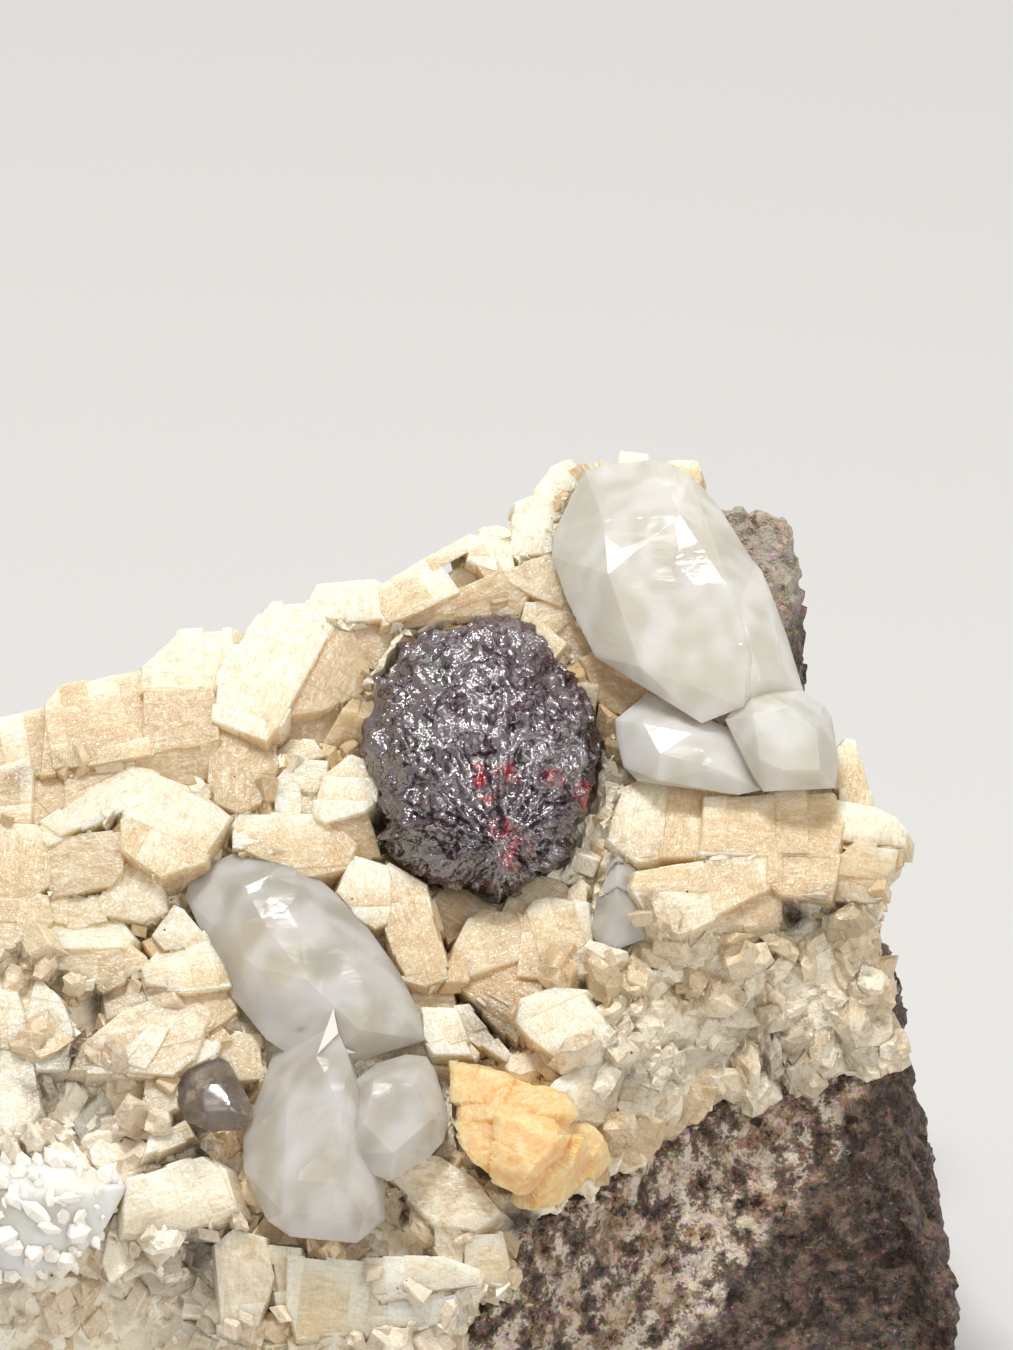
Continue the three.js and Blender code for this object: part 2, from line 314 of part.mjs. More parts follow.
const CRACKED_QUARTZ = [
  [0.1, 17.4, 2.6], [0.4, 18.6, 2.6], [1.6, 19.6, 2.6], [3.4, 20.15, 2.4], [4.6, 20, 2.4],
  [5.1, 19.2, 2.4], [5.8, 17, 2.4], [5.9, 16.2, 2.4], [5.6, 14.9, 2.4], [4.8, 14, 2.6],
  [2.4, 12.5, 2.8], [1.2, 13, 2.8], [-0.2, 14.2, 3.4], [1.4, 18.4, 4.6], [3.8, 18.4, 4.6],
  [4.8, 16.2, 4.5], [2.6, 14.2, 4.8], [0.8, 16, 5], [0.4, 19, -2], [4.8, 18.8, -2],
  [4.8, 14.4, -2], [0.4, 14.4, -2],
];
const DARK_QUARTZ = [
  [-9.9, 19.3, 1.2], [-8, 20, 1], [-7.3, 19.8, 1], [-6.8, 18.4, 1.4], [-5.8, 17, 1.6],
  [-5.8, 16.2, 1.8], [-6.6, 15.6, 1.8], [-8.4, 15.5, 1.6], [-9.6, 16, 1.4], [-10.4, 17.2, 1.2],
  [-10.3, 18.6, 1.2], [-8.9, 18.4, 2.8], [-7.6, 18.4, 2.8], [-7, 16.8, 3], [-8.8, 16.6, 2.9],
  [-9.4, 18.6, -2], [-6.8, 18, -2], [-6.8, 16, -2], [-9.2, 16.4, -2],
];
const DRUSE = [
  [-24.6, 12.6, 1.6], [-21, 14, 1.8], [-16.2, 13.8, 1.8], [-13.3, 12.2, 1.6], [-14.6, 9.8, 2],
  [-17, 7.2, 2.2], [-21, 6.6, 2.2], [-24.6, 8, 1.8], [-20, 11.6, 3.4], [-16.4, 11.8, 3.2],
  [-18.6, 8.8, 3.4], [-23, 12, -2], [-15, 12, -2], [-17.6, 8, -2], [-23, 8.4, -2],
];
const YELLOW = [
  [5.9, 19.8, 1.8], [9.2, 18.9, 3.6], [12.1, 18.2, 3.8], [15, 15.6, 3.6], [15.8, 13.7, 3.2],
  [13.4, 12.1, 3.8], [12.8, 11.1, 3], [9.8, 11.3, 3], [7.2, 13.5, 3.6], [6, 16.2, 3.2],
  [9, 16.6, 5.2], [12.8, 15.4, 5.2], [10.8, 13, 4.8], [7, 18.6, -2], [12, 17.6, -2],
  [14.4, 14, -2], [11.6, 12, -2], [7.6, 14, -2],
];

// The cinnabar's outline on the face, and its profile as [share of the outline, out] pairs.
const CINNABAR_CENTRE = [8.0, 38.3];
const CINNABAR_OUTLINE = [
  [7.9, 46.4], [10, 46.2], [11.6, 45], [13.3, 43.4], [15, 41], [15.4, 39.6], [14.9, 37],
  [13.9, 34.2], [12.9, 31.8], [10.8, 30.4], [9.2, 29.2], [7.2, 30.2], [5, 30.3], [2.8, 31.2],
  [1.7, 33.2], [1.5, 36], [0.3, 38.4], [1.2, 41], [2, 43.2], [3.9, 45.4], [6, 45.9],
];
const CINNABAR_PROFILE = [
  [0, 6.8], [0.22, 6.7], [0.42, 6.3], [0.6, 5.6], [0.75, 4.6], [0.87, 3.3], [0.95, 1.9],
  [1, 0.4], [0.98, -1], [0.86, -2.4], [0.5, -3],
];
const CINNABAR_SPOKES = 40;
const CINNABAR_CRINKLE = 0.3;
const FOLD_CENTRE = [9.3, 32.6];
const FOLD_DEPTH = 0.28;

function seededRandom(seed) {
  let state = seed;
  return () => {
    state = (state * 1664525 + 1013904223) % 4294967296;
    return state / 4294967296;
  };
}

const noise = new SimplexNoise({ random: seededRandom(7) });

// The value at x on a line of [x, value] pairs.
function along(line, x) {
  const last = line.length - 1;
  if (x <= line[0][0]) return line[0][1];
  if (x >= line[last][0]) return line[last][1];
  const next = line.findIndex((pair) => pair[0] > x);
  const [x0, value0] = line[next - 1];
  const [x1, value1] = line[next];
  return THREE.MathUtils.mapLinear(x, x0, x1, value0, value1);
}

// How far out the mean crystal face lies at a place given by across and up.
function faceOut(across, up) {
  const ridge = along(RIDGE_LINE, across);
  const ridgeOut = RIDGE_OUT - FACE_FALL * (ridge - RIDGE_UP);
  if (up >= ridge) return ridgeOut - FACE_FALL * (up - ridge);
  return ridgeOut - SIDE_FALL * (ridge - up);
}

function inFrame(across, up, out) {
  return new THREE.Vector3(across, up, out).applyMatrix4(FRAME);
}

// A place on the specimen, where out is measured from the mean crystal face.
function spot([across, up, out]) {
  return inFrame(across, up, faceOut(across, up) + out);
}

// A place as it looks from straight in front, where nearer things look larger.
function seen([across, up, out]) {
  const [middleAcross, middleUp, middleOut] = VIEW_CENTRE;
  const level = faceOut(across, up) + out;
  const nearer = 1 - (level - middleOut) / VIEW_DISTANCE;
  const trueAcross = middleAcross + (across - middleAcross) * nearer;
  const trueUp = middleUp + (up - middleUp) * nearer;
  return inFrame(trueAcross, trueUp, level);
}

function solidFrom(geometry) {
  const bare = geometry.clone();
  bare.deleteAttribute('normal');
  bare.deleteAttribute('uv');
  const merged = mergeVertices(bare, 1e-5);
  const mesh = new wasm.Mesh({
    numProp: 3,
    vertProperties: new Float32Array(merged.attributes.position.array),
    triVerts: new Uint32Array(merged.index.array),
  });
  return new wasm.Manifold(mesh);
}

function geometryFrom(solid) {
  const mesh = solid.getMesh();
  const geometry = new THREE.BufferGeometry();
  geometry.setAttribute('position', new THREE.BufferAttribute(mesh.vertProperties, 3));
  geometry.setIndex(new THREE.BufferAttribute(mesh.triVerts, 1));
  const flat = geometry.toNonIndexed();
  flat.computeVertexNormals();
  return flat;
}

function joined(solids) {
  return solids.reduce((whole, solid) => whole.add(solid));
}

// The largest body of a solid, without the crumbs that a cut leaves.
function largest(solid) {
  const bodies = solid.decompose();
  return bodies.reduce((best, body) => (body.volume() > best.volume() ? body : best));
}

// Rings of equal length joined into one closed body, with a fan over each end.
function loft(rings) {
  const count = rings[0].length;
  const positions = [];
  for (const ring of rings) {
    for (const point of ring) positions.push(...point.toArray());
  }
  const centres = [rings[0], rings[rings.length - 1]].map((ring) => {
    const centre = new THREE.Vector3();
    for (const point of ring) centre.addScaledVector(point, 1 / count);
    return centre;
  });
  for (const centre of centres) positions.push(...centre.toArray());
  const firstCentre = rings.length * count;
  const lastRing = (rings.length - 1) * count;
  const index = [];
  for (let row = 0; row < rings.length - 1; row += 1) {
    for (let i = 0; i < count; i += 1) {
      const a = row * count + i;
      const b = row * count + ((i + 1) % count);
      index.push(a, a + count, b, b, a + count, b + count);
    }
  }
  for (let i = 0; i < count; i += 1) {
    const next = (i + 1) % count;
    index.push(firstCentre, i, next);
    index.push(firstCentre + 1, lastRing + next, lastRing + i);
  }
  const geometry = new THREE.BufferGeometry();
  geometry.setAttribute('position', new THREE.Float32BufferAttribute(positions, 3));
  geometry.setIndex(index);
  return geometry;
}

function roughen(point) {
  const { x, y, z } = point;
  const coarse = (shift) => noise.noise3d(x / 11 + shift, y / 11, z / 11);
  const fine = (shift) => noise.noise3d(x / 4.2 + shift, y / 4.2, z / 4.2);
  point.x += ROCK_BUMP * coarse(3) + ROCK_GRAIN * fine(20);
  point.y += ROCK_BUMP * coarse(40) + ROCK_GRAIN * fine(60);
  point.z += ROCK_BUMP * coarse(80) + ROCK_GRAIN * fine(90);
  return point;
}

// One upright slice through the whole specimen at x, from the front foot over to the back.
function slice(x) {
  const ridge = along(RIDGE_LINE, x);
  const crest = along(CREST_LINE, x);
  const ridgeUp = Math.min(ridge, crest - 3);
  const frontFoot = along(FRONT_FOOT_LINE, x);
  const backFoot = along(BACK_FOOT_LINE, x);
  const backTopY = along(BACK_TOP_Y_LINE, x);
  const backTopZ = along(BACK_TOP_Z_LINE, x);
  const corners = [
    [new THREE.Vector3(x, frontFoot, BELOW), 5],
    [spot([x, ridgeUp, 0]), 5],
    [spot([x, crest, 0]), 2],
    [new THREE.Vector3(x, backTopY, backTopZ), 7],
    [new THREE.Vector3(x, backFoot, BELOW), 3],
  ];
  const ring = [];
  corners.forEach(([corner, steps], i) => {
    const next = corners[(i + 1) % corners.length][0];
    for (let step = 0; step < steps; step += 1) {
      ring.push(roughen(corner.clone().lerp(next, step / steps)));
    }
  });
  return ring;
}

// The whole specimen's body, cut flat underneath.
function chunk() {
  const body = solidFrom(loft(SLICE_STATIONS.map(slice)));
  const horn = new ConvexGeometry(HORN.map((corner) => new THREE.Vector3(...corner)));
  const above = new THREE.BoxGeometry(120, 120, 100);
  above.translate(0, 0, 50);
  return body.add(solidFrom(horn)).intersect(solidFrom(above));
}

// Everything behind the contact between crust and rock, moved out by a clearance.
function behindContact(clearance) {
  const geometry = new THREE.BoxGeometry(100, 100, 2, 20, 20, 1);
  const position = geometry.attributes.position;
  for (let i = 0; i < position.count; i += 1) {
    const across = position.getX(i);
    const up = position.getY(i) + 25;
    const rise = (up - along(CRUST_FOOT_LINE, across)) / CRUST_DEPTH;
    const depth = CRUST_DEPTH * THREE.MathUtils.clamp(rise, -0.6, 1);
    const wave = 0.8 * noise.noise3d(across / 9, up / 9, 5);
    const front = faceOut(across, up) - depth + wave + clearance;
    const point = inFrame(across, up, position.getZ(i) > 0 ? front : -70);
    position.setXYZ(i, point.x, point.y, point.z);
  }
  return solidFrom(geometry);
}

function rhomb([across, up, out, long, tall, thick, roll, hand, nod, turn]) {
  const rise = Math.sqrt(1 - RHOMB_LEAN ** 2);
  const alongEdge = new THREE.Vector3(long, 0, 0);
  const tallEdge = new THREE.Vector3(hand * RHOMB_LEAN, rise, 0).multiplyScalar(tall);
  const deepEdge = new THREE.Vector3(hand * RHOMB_LEAN, 0.25, -0.94).multiplyScalar(thick);
  const degrees = [-nod, turn, roll].map(THREE.MathUtils.degToRad);
  const turned = new THREE.Euler(...degrees, 'YXZ');
  const centre = new THREE.Vector3(across, up, faceOut(across, up) + out);
  const corners = [];
  for (const i of [-0.5, 0.5]) {
    for (const j of [-0.5, 0.5]) {
      for (const k of [0, 1]) {
        const corner = alongEdge.clone().multiplyScalar(i);
        corner.addScaledVector(tallEdge, j).addScaledVector(deepEdge, k);
        corners.push(corner.applyEuler(turned).add(centre).applyMatrix4(FRAME));
      }
    }
  }
  return solidFrom(new ConvexGeometry(corners));
}

// A crystal between its front corners and the same corners at its back.
function form([depth, corners]) {
  const front = corners.map(seen);
  const away = inFrame(...SIDE_WAY).multiplyScalar(depth);
  return convexSolid([...front, ...front.map((corner) => corner.clone().add(away))]);
}

// Whether a place seen from straight in front lies on the front of a form.
function isOn(across, up, [, corners]) {
  let crossings = 0;
  corners.forEach(([x, y], i) => {
    const [x0, y0] = corners[(i + corners.length - 1) % corners.length];
    const crosses = (y > up) !== (y0 > up) && across < x + ((up - y) * (x0 - x)) / (y0 - y);
    if (crosses) crossings += 1;
  });
  return crossings % 2 === 1;
}

// Small rhombs that fill the face between the large crystals.
function fillRhombs() {
  const random = seededRandom(31);
  const between = (low, high) => low + (high - low) * random();
  const rhombs = [];
  for (let row = 0; row < FILL_ROWS; row += 1) {
    for (let column = 0; column < FILL_COLUMNS; column += 1) {
      const step = (FILL_RIGHT - FILL_LEFT) / FILL_COLUMNS;
      const across = FILL_LEFT + (column + random()) * step;
      const foot = along(FILL_FOOT_LINE, across);
      const crest = along(CREST_LINE, across) - 2;
      const up = foot + ((row + random()) * (crest - foot)) / FILL_ROWS;
      const size = FILL_SIZE * between(0.6, 1.15);
      const hand = random() < 0.5 ? -1 : 1;
      const sides = [size, size * between(0.7, 1), size];
      const angles = [between(-45, 45), hand, between(-12, 44), between(-16, 16)];
      const one = [across, up, between(-0.4, 0.4), ...sides, ...angles];
      if (!LARGE_FORMS.some((large) => isOn(across, up, large))) rhombs.push(rhomb(one));
    }
  }
  return rhombs;
}

function convexSolid(corners) {
  return solidFrom(new ConvexGeometry(corners));
}

// The same convex form with every side moved out by the clearance.
function convexPocket(corners) {
  const grown = [];
  for (const corner of corners) {
    for (let i = 0; i < 8; i += 1) {
      const push = new THREE.Vector3(i & 1 ? 1 : -1, i & 2 ? 1 : -1, i & 4 ? 1 : -1);
      grown.push(corner.clone().addScaledVector(push, GAP * 0.75));
    }
  }
  return convexSolid(grown);
}

// The cinnabar: a low dome with folds that run to one point, grown by a clearance.
function cinnabar(clearance) {
  const [centreAcross, centreUp] = CINNABAR_CENTRE;
  const outline = new THREE.SplineCurve(
    [...CINNABAR_OUTLINE, CINNABAR_OUTLINE[0]].map((pair) => new THREE.Vector2(...pair)),
  );
  const rim = outline.getSpacedPoints(CINNABAR_SPOKES).slice(1).reverse();
  const rings = [];
  CINNABAR_PROFILE.slice(1).forEach(([share, out]) => {
    const ring = rim.map((point) => {
      const across = THREE.MathUtils.lerp(centreAcross, point.x, share);
      const up = THREE.MathUtils.lerp(centreUp, point.y, share);
      const crinkle = CINNABAR_CRINKLE * noise.noise3d(across / 1.6, up / 1.6, out / 1.6);
      const spoke = Math.atan2(up - FOLD_CENTRE[1], across - FOLD_CENTRE[0]);
      const fold = FOLD_DEPTH * Math.cos(spoke * 13) * Math.min(1, out > 0 ? share * 2 : 0);
      const reach = Math.hypot(point.x - centreAcross, point.y - centreUp);
      const grow = 1 + (clearance * share) / reach;
      const high = out + crinkle + fold + (out > 0 ? clearance : -clearance);
      return spot([
        centreAcross + (across - centreAcross) * grow,
        centreUp + (up - centreUp) * grow,
        high,
      ]);
    });
    rings.push(ring);
  });
  return solidFrom(loft(rings));
}

function part(name, solid, colour, roughness, metalness = 0) {
  const material = new THREE.MeshStandardMaterial({ color: colour, roughness, metalness });
  const mesh = new THREE.Mesh(geometryFrom(solid), material);
  mesh.name = name;
  return mesh;
}

const upperQuartz = [BIG_QUARTZ, SIDE_QUARTZ, ROUND_QUARTZ, LOW_QUARTZ].map((one) => one.map(seen));
const lowerQuartz = [LONG_QUARTZ, UPRIGHT_QUARTZ, CRACKED_QUARTZ].map((one) => one.map(seen));
const nearQuartz = NEAR_QUARTZ.map(seen);
const darkQuartz = DARK_QUARTZ.map(seen);
const druse = DRUSE.map(seen);
const yellow = YELLOW.map(seen);

const crystals = [...upperQuartz, ...lowerQuartz, nearQuartz, darkQuartz, druse, yellow];
const pockets = joined([...crystals.map(convexPocket), cinnabar(GAP)]);

const wholeBody = chunk();
const rock = largest(wholeBody.intersect(behindContact(0)));
const rhombs = joined([...LARGE_FORMS.map(form), ...LEFT_RHOMBS.map(rhomb), ...fillRhombs()]);
const crust = largest(wholeBody.add(rhombs).subtract(behindContact(GAP)).subtract(pockets));

const specimen = new THREE.Group();
specimen.add(part('matrix_rock', rock, '#6f5f54', 0.85));
specimen.add(part('dolomite_crust', crust, '#efe2c4', 0.5));
specimen.add(part('cinnabar_crystal', largest(cinnabar(0)), '#3a1c22', 0.22, 0.3));
specimen.add(part('quartz_upper', joined(upperQuartz.map(convexSolid)), '#e7e1d8', 0.08));
specimen.add(part('quartz_lower', joined(lowerQuartz.map(convexSolid)), '#dcd6cc', 0.08));
specimen.add(part('quartz_near', convexSolid(nearQuartz), '#cfc6bb', 0.08));
specimen.add(part('quartz_dark', convexSolid(darkQuartz), '#a39a92', 0.08));
specimen.add(part('quartz_druse', convexSolid(druse), '#ece7dd', 0.2));
specimen.add(part('yellow_crystal', convexSolid(yellow), '#f3d9a0', 0.4));

export default specimen;
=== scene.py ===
import json
import math
import random

import bmesh
import bpy
import numpy as np
from mathutils import Euler, Matrix, Vector, noise
from mathutils.bvhtree import BVHTree

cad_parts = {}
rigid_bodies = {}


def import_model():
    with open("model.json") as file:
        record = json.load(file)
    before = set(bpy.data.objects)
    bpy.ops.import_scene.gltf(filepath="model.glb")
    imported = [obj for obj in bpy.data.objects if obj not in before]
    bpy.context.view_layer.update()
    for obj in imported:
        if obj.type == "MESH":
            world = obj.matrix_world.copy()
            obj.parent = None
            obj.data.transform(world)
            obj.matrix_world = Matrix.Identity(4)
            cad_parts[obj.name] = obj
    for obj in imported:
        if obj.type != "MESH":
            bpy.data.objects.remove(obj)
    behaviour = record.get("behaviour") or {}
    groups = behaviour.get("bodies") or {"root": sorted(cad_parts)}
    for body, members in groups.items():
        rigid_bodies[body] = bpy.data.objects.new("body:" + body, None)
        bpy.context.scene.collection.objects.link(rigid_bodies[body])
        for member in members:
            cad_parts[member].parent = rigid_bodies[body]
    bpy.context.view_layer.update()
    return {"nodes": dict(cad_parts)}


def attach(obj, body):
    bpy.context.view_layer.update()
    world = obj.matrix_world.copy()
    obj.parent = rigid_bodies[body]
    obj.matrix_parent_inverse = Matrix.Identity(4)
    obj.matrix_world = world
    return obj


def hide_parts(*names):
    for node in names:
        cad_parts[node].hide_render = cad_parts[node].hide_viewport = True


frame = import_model()
print("frame loaded")

# The crystal face's own frame: across to the right, up the face and out of it.
mm = 0.001
leanAngle = math.radians(20)
acrossAxis = Vector((1, 0, 0))
upAxis = Vector((0, math.sin(leanAngle), math.cos(leanAngle)))
outAxis = Vector((0, -math.cos(leanAngle), math.sin(leanAngle)))
faceFrame = Matrix((acrossAxis, upAxis, outAxis)).transposed()

# Millimetres along and out of the face, as [x, value] pairs.
ridgeLine = [
    [-38, 15], [-30, 12.5], [-10, 11.4], [6, 11], [10, 12.5], [13, 16], [16, 22], [19, 26.5],
    [23, 28.5], [34, 28], [37, 20],
]
crestLine = [
    [-38, 27], [-35, 31], [-31, 34.5], [-26, 37.5], [-21, 38.8], [-18, 40.2], [-12.5, 42],
    [-7.5, 44], [-2.5, 46.2], [0, 47.2], [3.5, 47.8], [6, 49.4], [9, 50.6], [12, 53.2],
    [15, 54.6], [20, 54.2], [23, 49], [26, 43], [29, 36.5], [30.8, 33.5], [31.8, 28],
    [32.4, 23], [33, 17.5], [33.8, 12.5], [35.2, 7.5], [36.4, 3],
]
fillFootLine = [[-38, 0], [-20, -2], [0, -1], [8, 3], [9, 20], [17, 26]]
face = {"ridgeOut": 26.5, "ridgeUp": 11.4, "faceFall": 0.428, "sideFall": 0.15}


def along(line, x):
    return float(np.interp(x, [pair[0] for pair in line], [pair[1] for pair in line]))


# How far out the mean crystal face lies, in millimetres.
def faceOut(across, up):
    ridge = along(ridgeLine, across)
    ridgeOut = face["ridgeOut"] - face["faceFall"] * (ridge - face["ridgeUp"])
    if up >= ridge:
        return ridgeOut - face["faceFall"] * (up - ridge)
    return ridgeOut - face["sideFall"] * (ridge - up)


def inFrame(across, up, out):
    return faceFrame @ Vector((across, up, out)) * mm


def addObject(name, data):
    thing = bpy.data.objects.new(name, data)
    bpy.context.scene.collection.objects.link(thing)
    return thing


stageLook = {
    "heightInView": 81,     # mm of the specimen's plane from the frame's lower to its upper edge
    "distance": 500,        # mm from the camera to the target
    "target": [9.39, 42.9, 17],  # across, up and out, in the face's own frame
    "floorColour": (215, 215, 215),
    "floorHalf": 3,         # m from the specimen to the floor's edges
    "airColour": (1, 0.955, 0.9),
    "airStrength": 0.44,
    # each light's place in m, its width and height in m, its watts and its colour
    "keyLight": [(-0.1, -0.08, 0.8), (0.15, 0.15), 4.3, (1, 0.985, 0.95)],
    "frontLight": [(0.26, -0.3, 0.28), (0.14, 0.14), 0.55, (1, 1, 1)],
    "backLight": [(0, 0.6, 0.5), (0.6, 0.3), 0.8, (1, 0.99, 0.97)],
}


def addCamera():
    camera = bpy.data.cameras.new("viewCamera")
    camera.sensor_fit = "VERTICAL"
    camera.sensor_height = 24
    camera.lens = 24 * stageLook["distance"] / stageLook["heightInView"]
    camera.clip_start = 0.01
    camera.clip_end = 20
    viewer = addObject("viewCamera", camera)
    across, up, out = stageLook["target"]
    viewer.location = inFrame(across, up, out + stageLook["distance"])
    viewer.rotation_euler = (math.pi / 2 - leanAngle, 0, 0)
    bpy.context.scene.camera = viewer


def addAreaLight(name, target):
    place, size, power, colour = stageLook[name]
    light = bpy.data.lights.new(name, "AREA")
    light.shape = "RECTANGLE"
    light.size, light.size_y = size
    light.energy = power
    light.color = colour
    lamp = addObject(name, light)
    lamp.location = place
    lamp.rotation_euler = (Vector(target) - Vector(place)).to_track_quat("-Z", "Y").to_euler()


def addStage():
    look = stageLook
    world = bpy.data.worlds.new("studioAir")
    world.use_nodes = True
    background = {"Color": (*look["airColour"], 1), "Strength": look["airStrength"]}
    feed(world.node_tree.nodes["Background"], background)
    bpy.context.scene.world = world
    addAreaLight("keyLight", (0, 0, 0.03))
    addAreaLight("frontLight", (0, 0, 0.03))
    addAreaLight("backLight", (0, 0.5, 0))
    mesh = bpy.data.meshes.new("floor")
    half = look["floorHalf"]
    corners = [(-half, -half, 0), (half, -half, 0), (half, half, 0), (-half, half, 0)]
    mesh.from_pydata(corners, [], [(0, 1, 2, 3)])
    floor = addObject("floor", mesh)
    material, shader = newMaterial("paleFloor")
    feed(shader, {"Base Color": tone(*look["floorColour"]), "Roughness": 0.9})
    mesh.materials.append(material)


def tone(red, green, blue):
    def linear(value):
        value /= 255
        return value / 12.92 if value <= 0.04045 else ((value + 0.055) / 1.055) ** 2.4

    return (linear(red), linear(green), linear(blue), 1)


def newMaterial(name):
    material = bpy.data.materials.new(name)
    material.use_nodes = True
    tree = material.node_tree
    tree.nodes.clear()
    shader = newNode(tree, "ShaderNodeBsdfPrincipled")
    newNode(tree, "ShaderNodeOutputMaterial", {"Surface": shader.outputs[0]})
    return material, shader


# Gives a node's inputs their values, which are plain ones or other nodes' outputs.
def feed(node, inputs):
    for name, value in inputs.items():
        if isinstance(value, bpy.types.NodeSocket):
            node.id_data.links.new(value, node.inputs[name])
        else:
            node.inputs[name].default_value = value


def newNode(tree, kind, inputs=None, **settings):
    node = tree.nodes.new(kind)
    for name, value in settings.items():
        setattr(node, name, value)
    feed(node, inputs or {})
    return node


# Object coordinates in millimetres, stretched by a Mapping node.
def placeNode(tree, stretch=(1, 1, 1), turn=(0, 0, 0)):
    place = newNode(tree, "ShaderNodeTexCoord").outputs["Object"]
    inputs = {"Vector": place, "Scale": [value / mm for value in stretch], "Rotation": turn}
    return newNode(tree, "ShaderNodeMapping", inputs).outputs[0]


def noiseNode(tree, place, perMm, detail=3, rough=0.5, twist=0):
    inputs = {"Vector": place, "Scale": perMm, "Detail": detail, "Roughness": rough, "Distortion": twist}
    return newNode(tree, "ShaderNodeTexNoise", inputs).outputs["Fac"]


def cellNode(tree, place, perMm, output="Distance"):
    return newNode(tree, "ShaderNodeTexVoronoi", {"Vector": place, "Scale": perMm}).outputs[output]


def rangeNode(tree, value, low, high, newLow=0, newHigh=1):
    inputs = {"Value": value, "From Min": low, "From Max": high, "To Min": newLow, "To Max": newHigh}
    return newNode(tree, "ShaderNodeMapRange", inputs, interpolation_type="SMOOTHSTEP").outputs["Result"]


def mathNode(tree, operation, first, second):
    return newNode(tree, "ShaderNodeMath", {0: first, 1: second}, operation=operation).outputs[0]


def mixNode(tree, share, first, second, blend="MIX"):
    inputs = {"Factor": share, 6: first, 7: second}
    return newNode(tree, "ShaderNodeMix", inputs, data_type="RGBA", blend_type=blend).outputs[2]


# Mixes a colour in, where a value runs from low to high, and most of it at the high end.
def stainNode(tree, colour, value, low, high, most, stain):
    return mixNode(tree, rangeNode(tree, value, low, high, 0, most), colour, tone(*stain))


def bumpNode(tree, height, distance, strength=1, normal=None):
    inputs = {"Height": height, "Distance": distance * mm, "Strength": strength}
    if normal is not None:
        inputs["Normal"] = normal
    return newNode(tree, "ShaderNodeBump", inputs).outputs[0]


# Vector maths. "SCALE" takes its number at the socket "Scale", and "DOT_PRODUCT" gives "Value".
def vectorNode(tree, operation, first, second, socket=1, output=0):
    inputs = {0: first, socket: second}
    return newNode(tree, "ShaderNodeVectorMath", inputs, operation=operation).outputs[output]


# A normal that is turned a little, by another amount in each small cell, as on broken crystal.
def facetNode(tree, place, perMm, share):
    turned = vectorNode(tree, "SUBTRACT", cellNode(tree, place, perMm, "Color"), (0.5,) * 3)
    turned = vectorNode(tree, "MULTIPLY", turned, (share * 2,) * 3)
    normal = newNode(tree, "ShaderNodeNewGeometry").outputs["Normal"]
    total = vectorNode(tree, "ADD", normal, turned)
    return newNode(tree, "ShaderNodeVectorMath", {0: total}, operation="NORMALIZE").outputs[0]


def attributeNode(tree, name):
    return newNode(tree, "ShaderNodeAttribute", attribute_name=name).outputs["Fac"]


dolomiteLook = {
    "cream": (235, 214, 176),
    "tan": (196, 164, 120),
    "moss": (246, 237, 216),
    "mossShade": (190, 176, 154),
    "frost": (255, 252, 244),
    # bright: paler marks in the noise, and a painted highlight on the least tan pieces, mostly lit tops
    "bright": (252, 247, 228),
    "speck": (48, 34, 26),
    # painted shade: the dark brown given to hollows that lie in shadow
    "paintedHollowShade": (74, 54, 38),
    "glow": 0.8,            # share of light that scatters inside the large crystals
    "glowDepth": 2.4,       # mm that it gets
    "roughness": 0.34,
    # [across, up, reach, share] of the greyish green crust, in mm
    "mossSpots": [
        [27, 21, 9, 1], [17, 20, 6, 0.9], [20, 27, 5, 0.6], [-18, 13, 9, 0.75], [-28, 12, 10, 0.7],
        [-8, 8, 8, 0.55], [5, 9, 6, 0.5], [-2.6, 35.4, 2.2, 0.8], [-12, 22, 5, 0.6], [-20, 24, 5, 0.6],
        [3, 15, 5, 0.7],
    ],
    # the same for the whiter, sugary places
    "frostSpots": [
        [-27, 9, 13, 0.8], [-16, 14, 7, 0.5], [-10, 6, 6, 0.4], [4, 4, 6, 0.4],
    ],
    # the same for painted shade: dark brown where hollows lie in shadow
    "paintedHollowShadeSpots": [
        [26.6, 28.3, 1.3, 1], [28.8, 28.8, 2.2, 0.5], [15.2, 24.7, 1, 0.7], [16.8, 21.5, 0.7, 0.7],
        [15.6, 37.6, 2.2, 0.5], [-15, 23.2, 1.2, 0.7], [-16.6, 20, 1.4, 0.7], [-20.4, 24.7, 0.8, 0.8],
        [-18.7, 17.7, 1, 0.7], [-9.4, 14.6, 2, 0.5], [-9.4, 8.2, 1.8, 0.8], [10.2, 10.1, 1.5, 1],
        [2.8, 11, 1.5, 0.6], [1.2, 8.8, 1.2, 0.6], [-10.5, 34, 1.6, 0.6], [-6, 24, 1.4, 0.5],
        [-19.6, 37, 1, 0.5], [8.4, 22, 2.2, 0.6], [17, 18.6, 2.4, 0.35], [21, 20, 2.4, 0.35],
        [26, 20.4, 2.6, 0.45], [30, 21.4, 2.4, 0.45], [24, 22, 1.6, 0.3],
    ],
}


# How greyish green, how sugary and how much painted hollow shade each point of a mesh has, as attributes.
def markCrust(mesh):
    across, up = viewPlaces(mesh)
    for name in ("moss", "frost", "paintedHollowShade"):
        spots = dolomiteLook[name + "Spots"]
        share = np.zeros(len(across))
        for x, y, reach, most in spots:
            away = np.hypot(across - x, up - y) / reach
            share = np.maximum(share, most * np.clip(1.5 - away * 1.5, 0, 1))
        mesh.attributes.new(name, "FLOAT", "POINT").data.foreach_set("value", share)


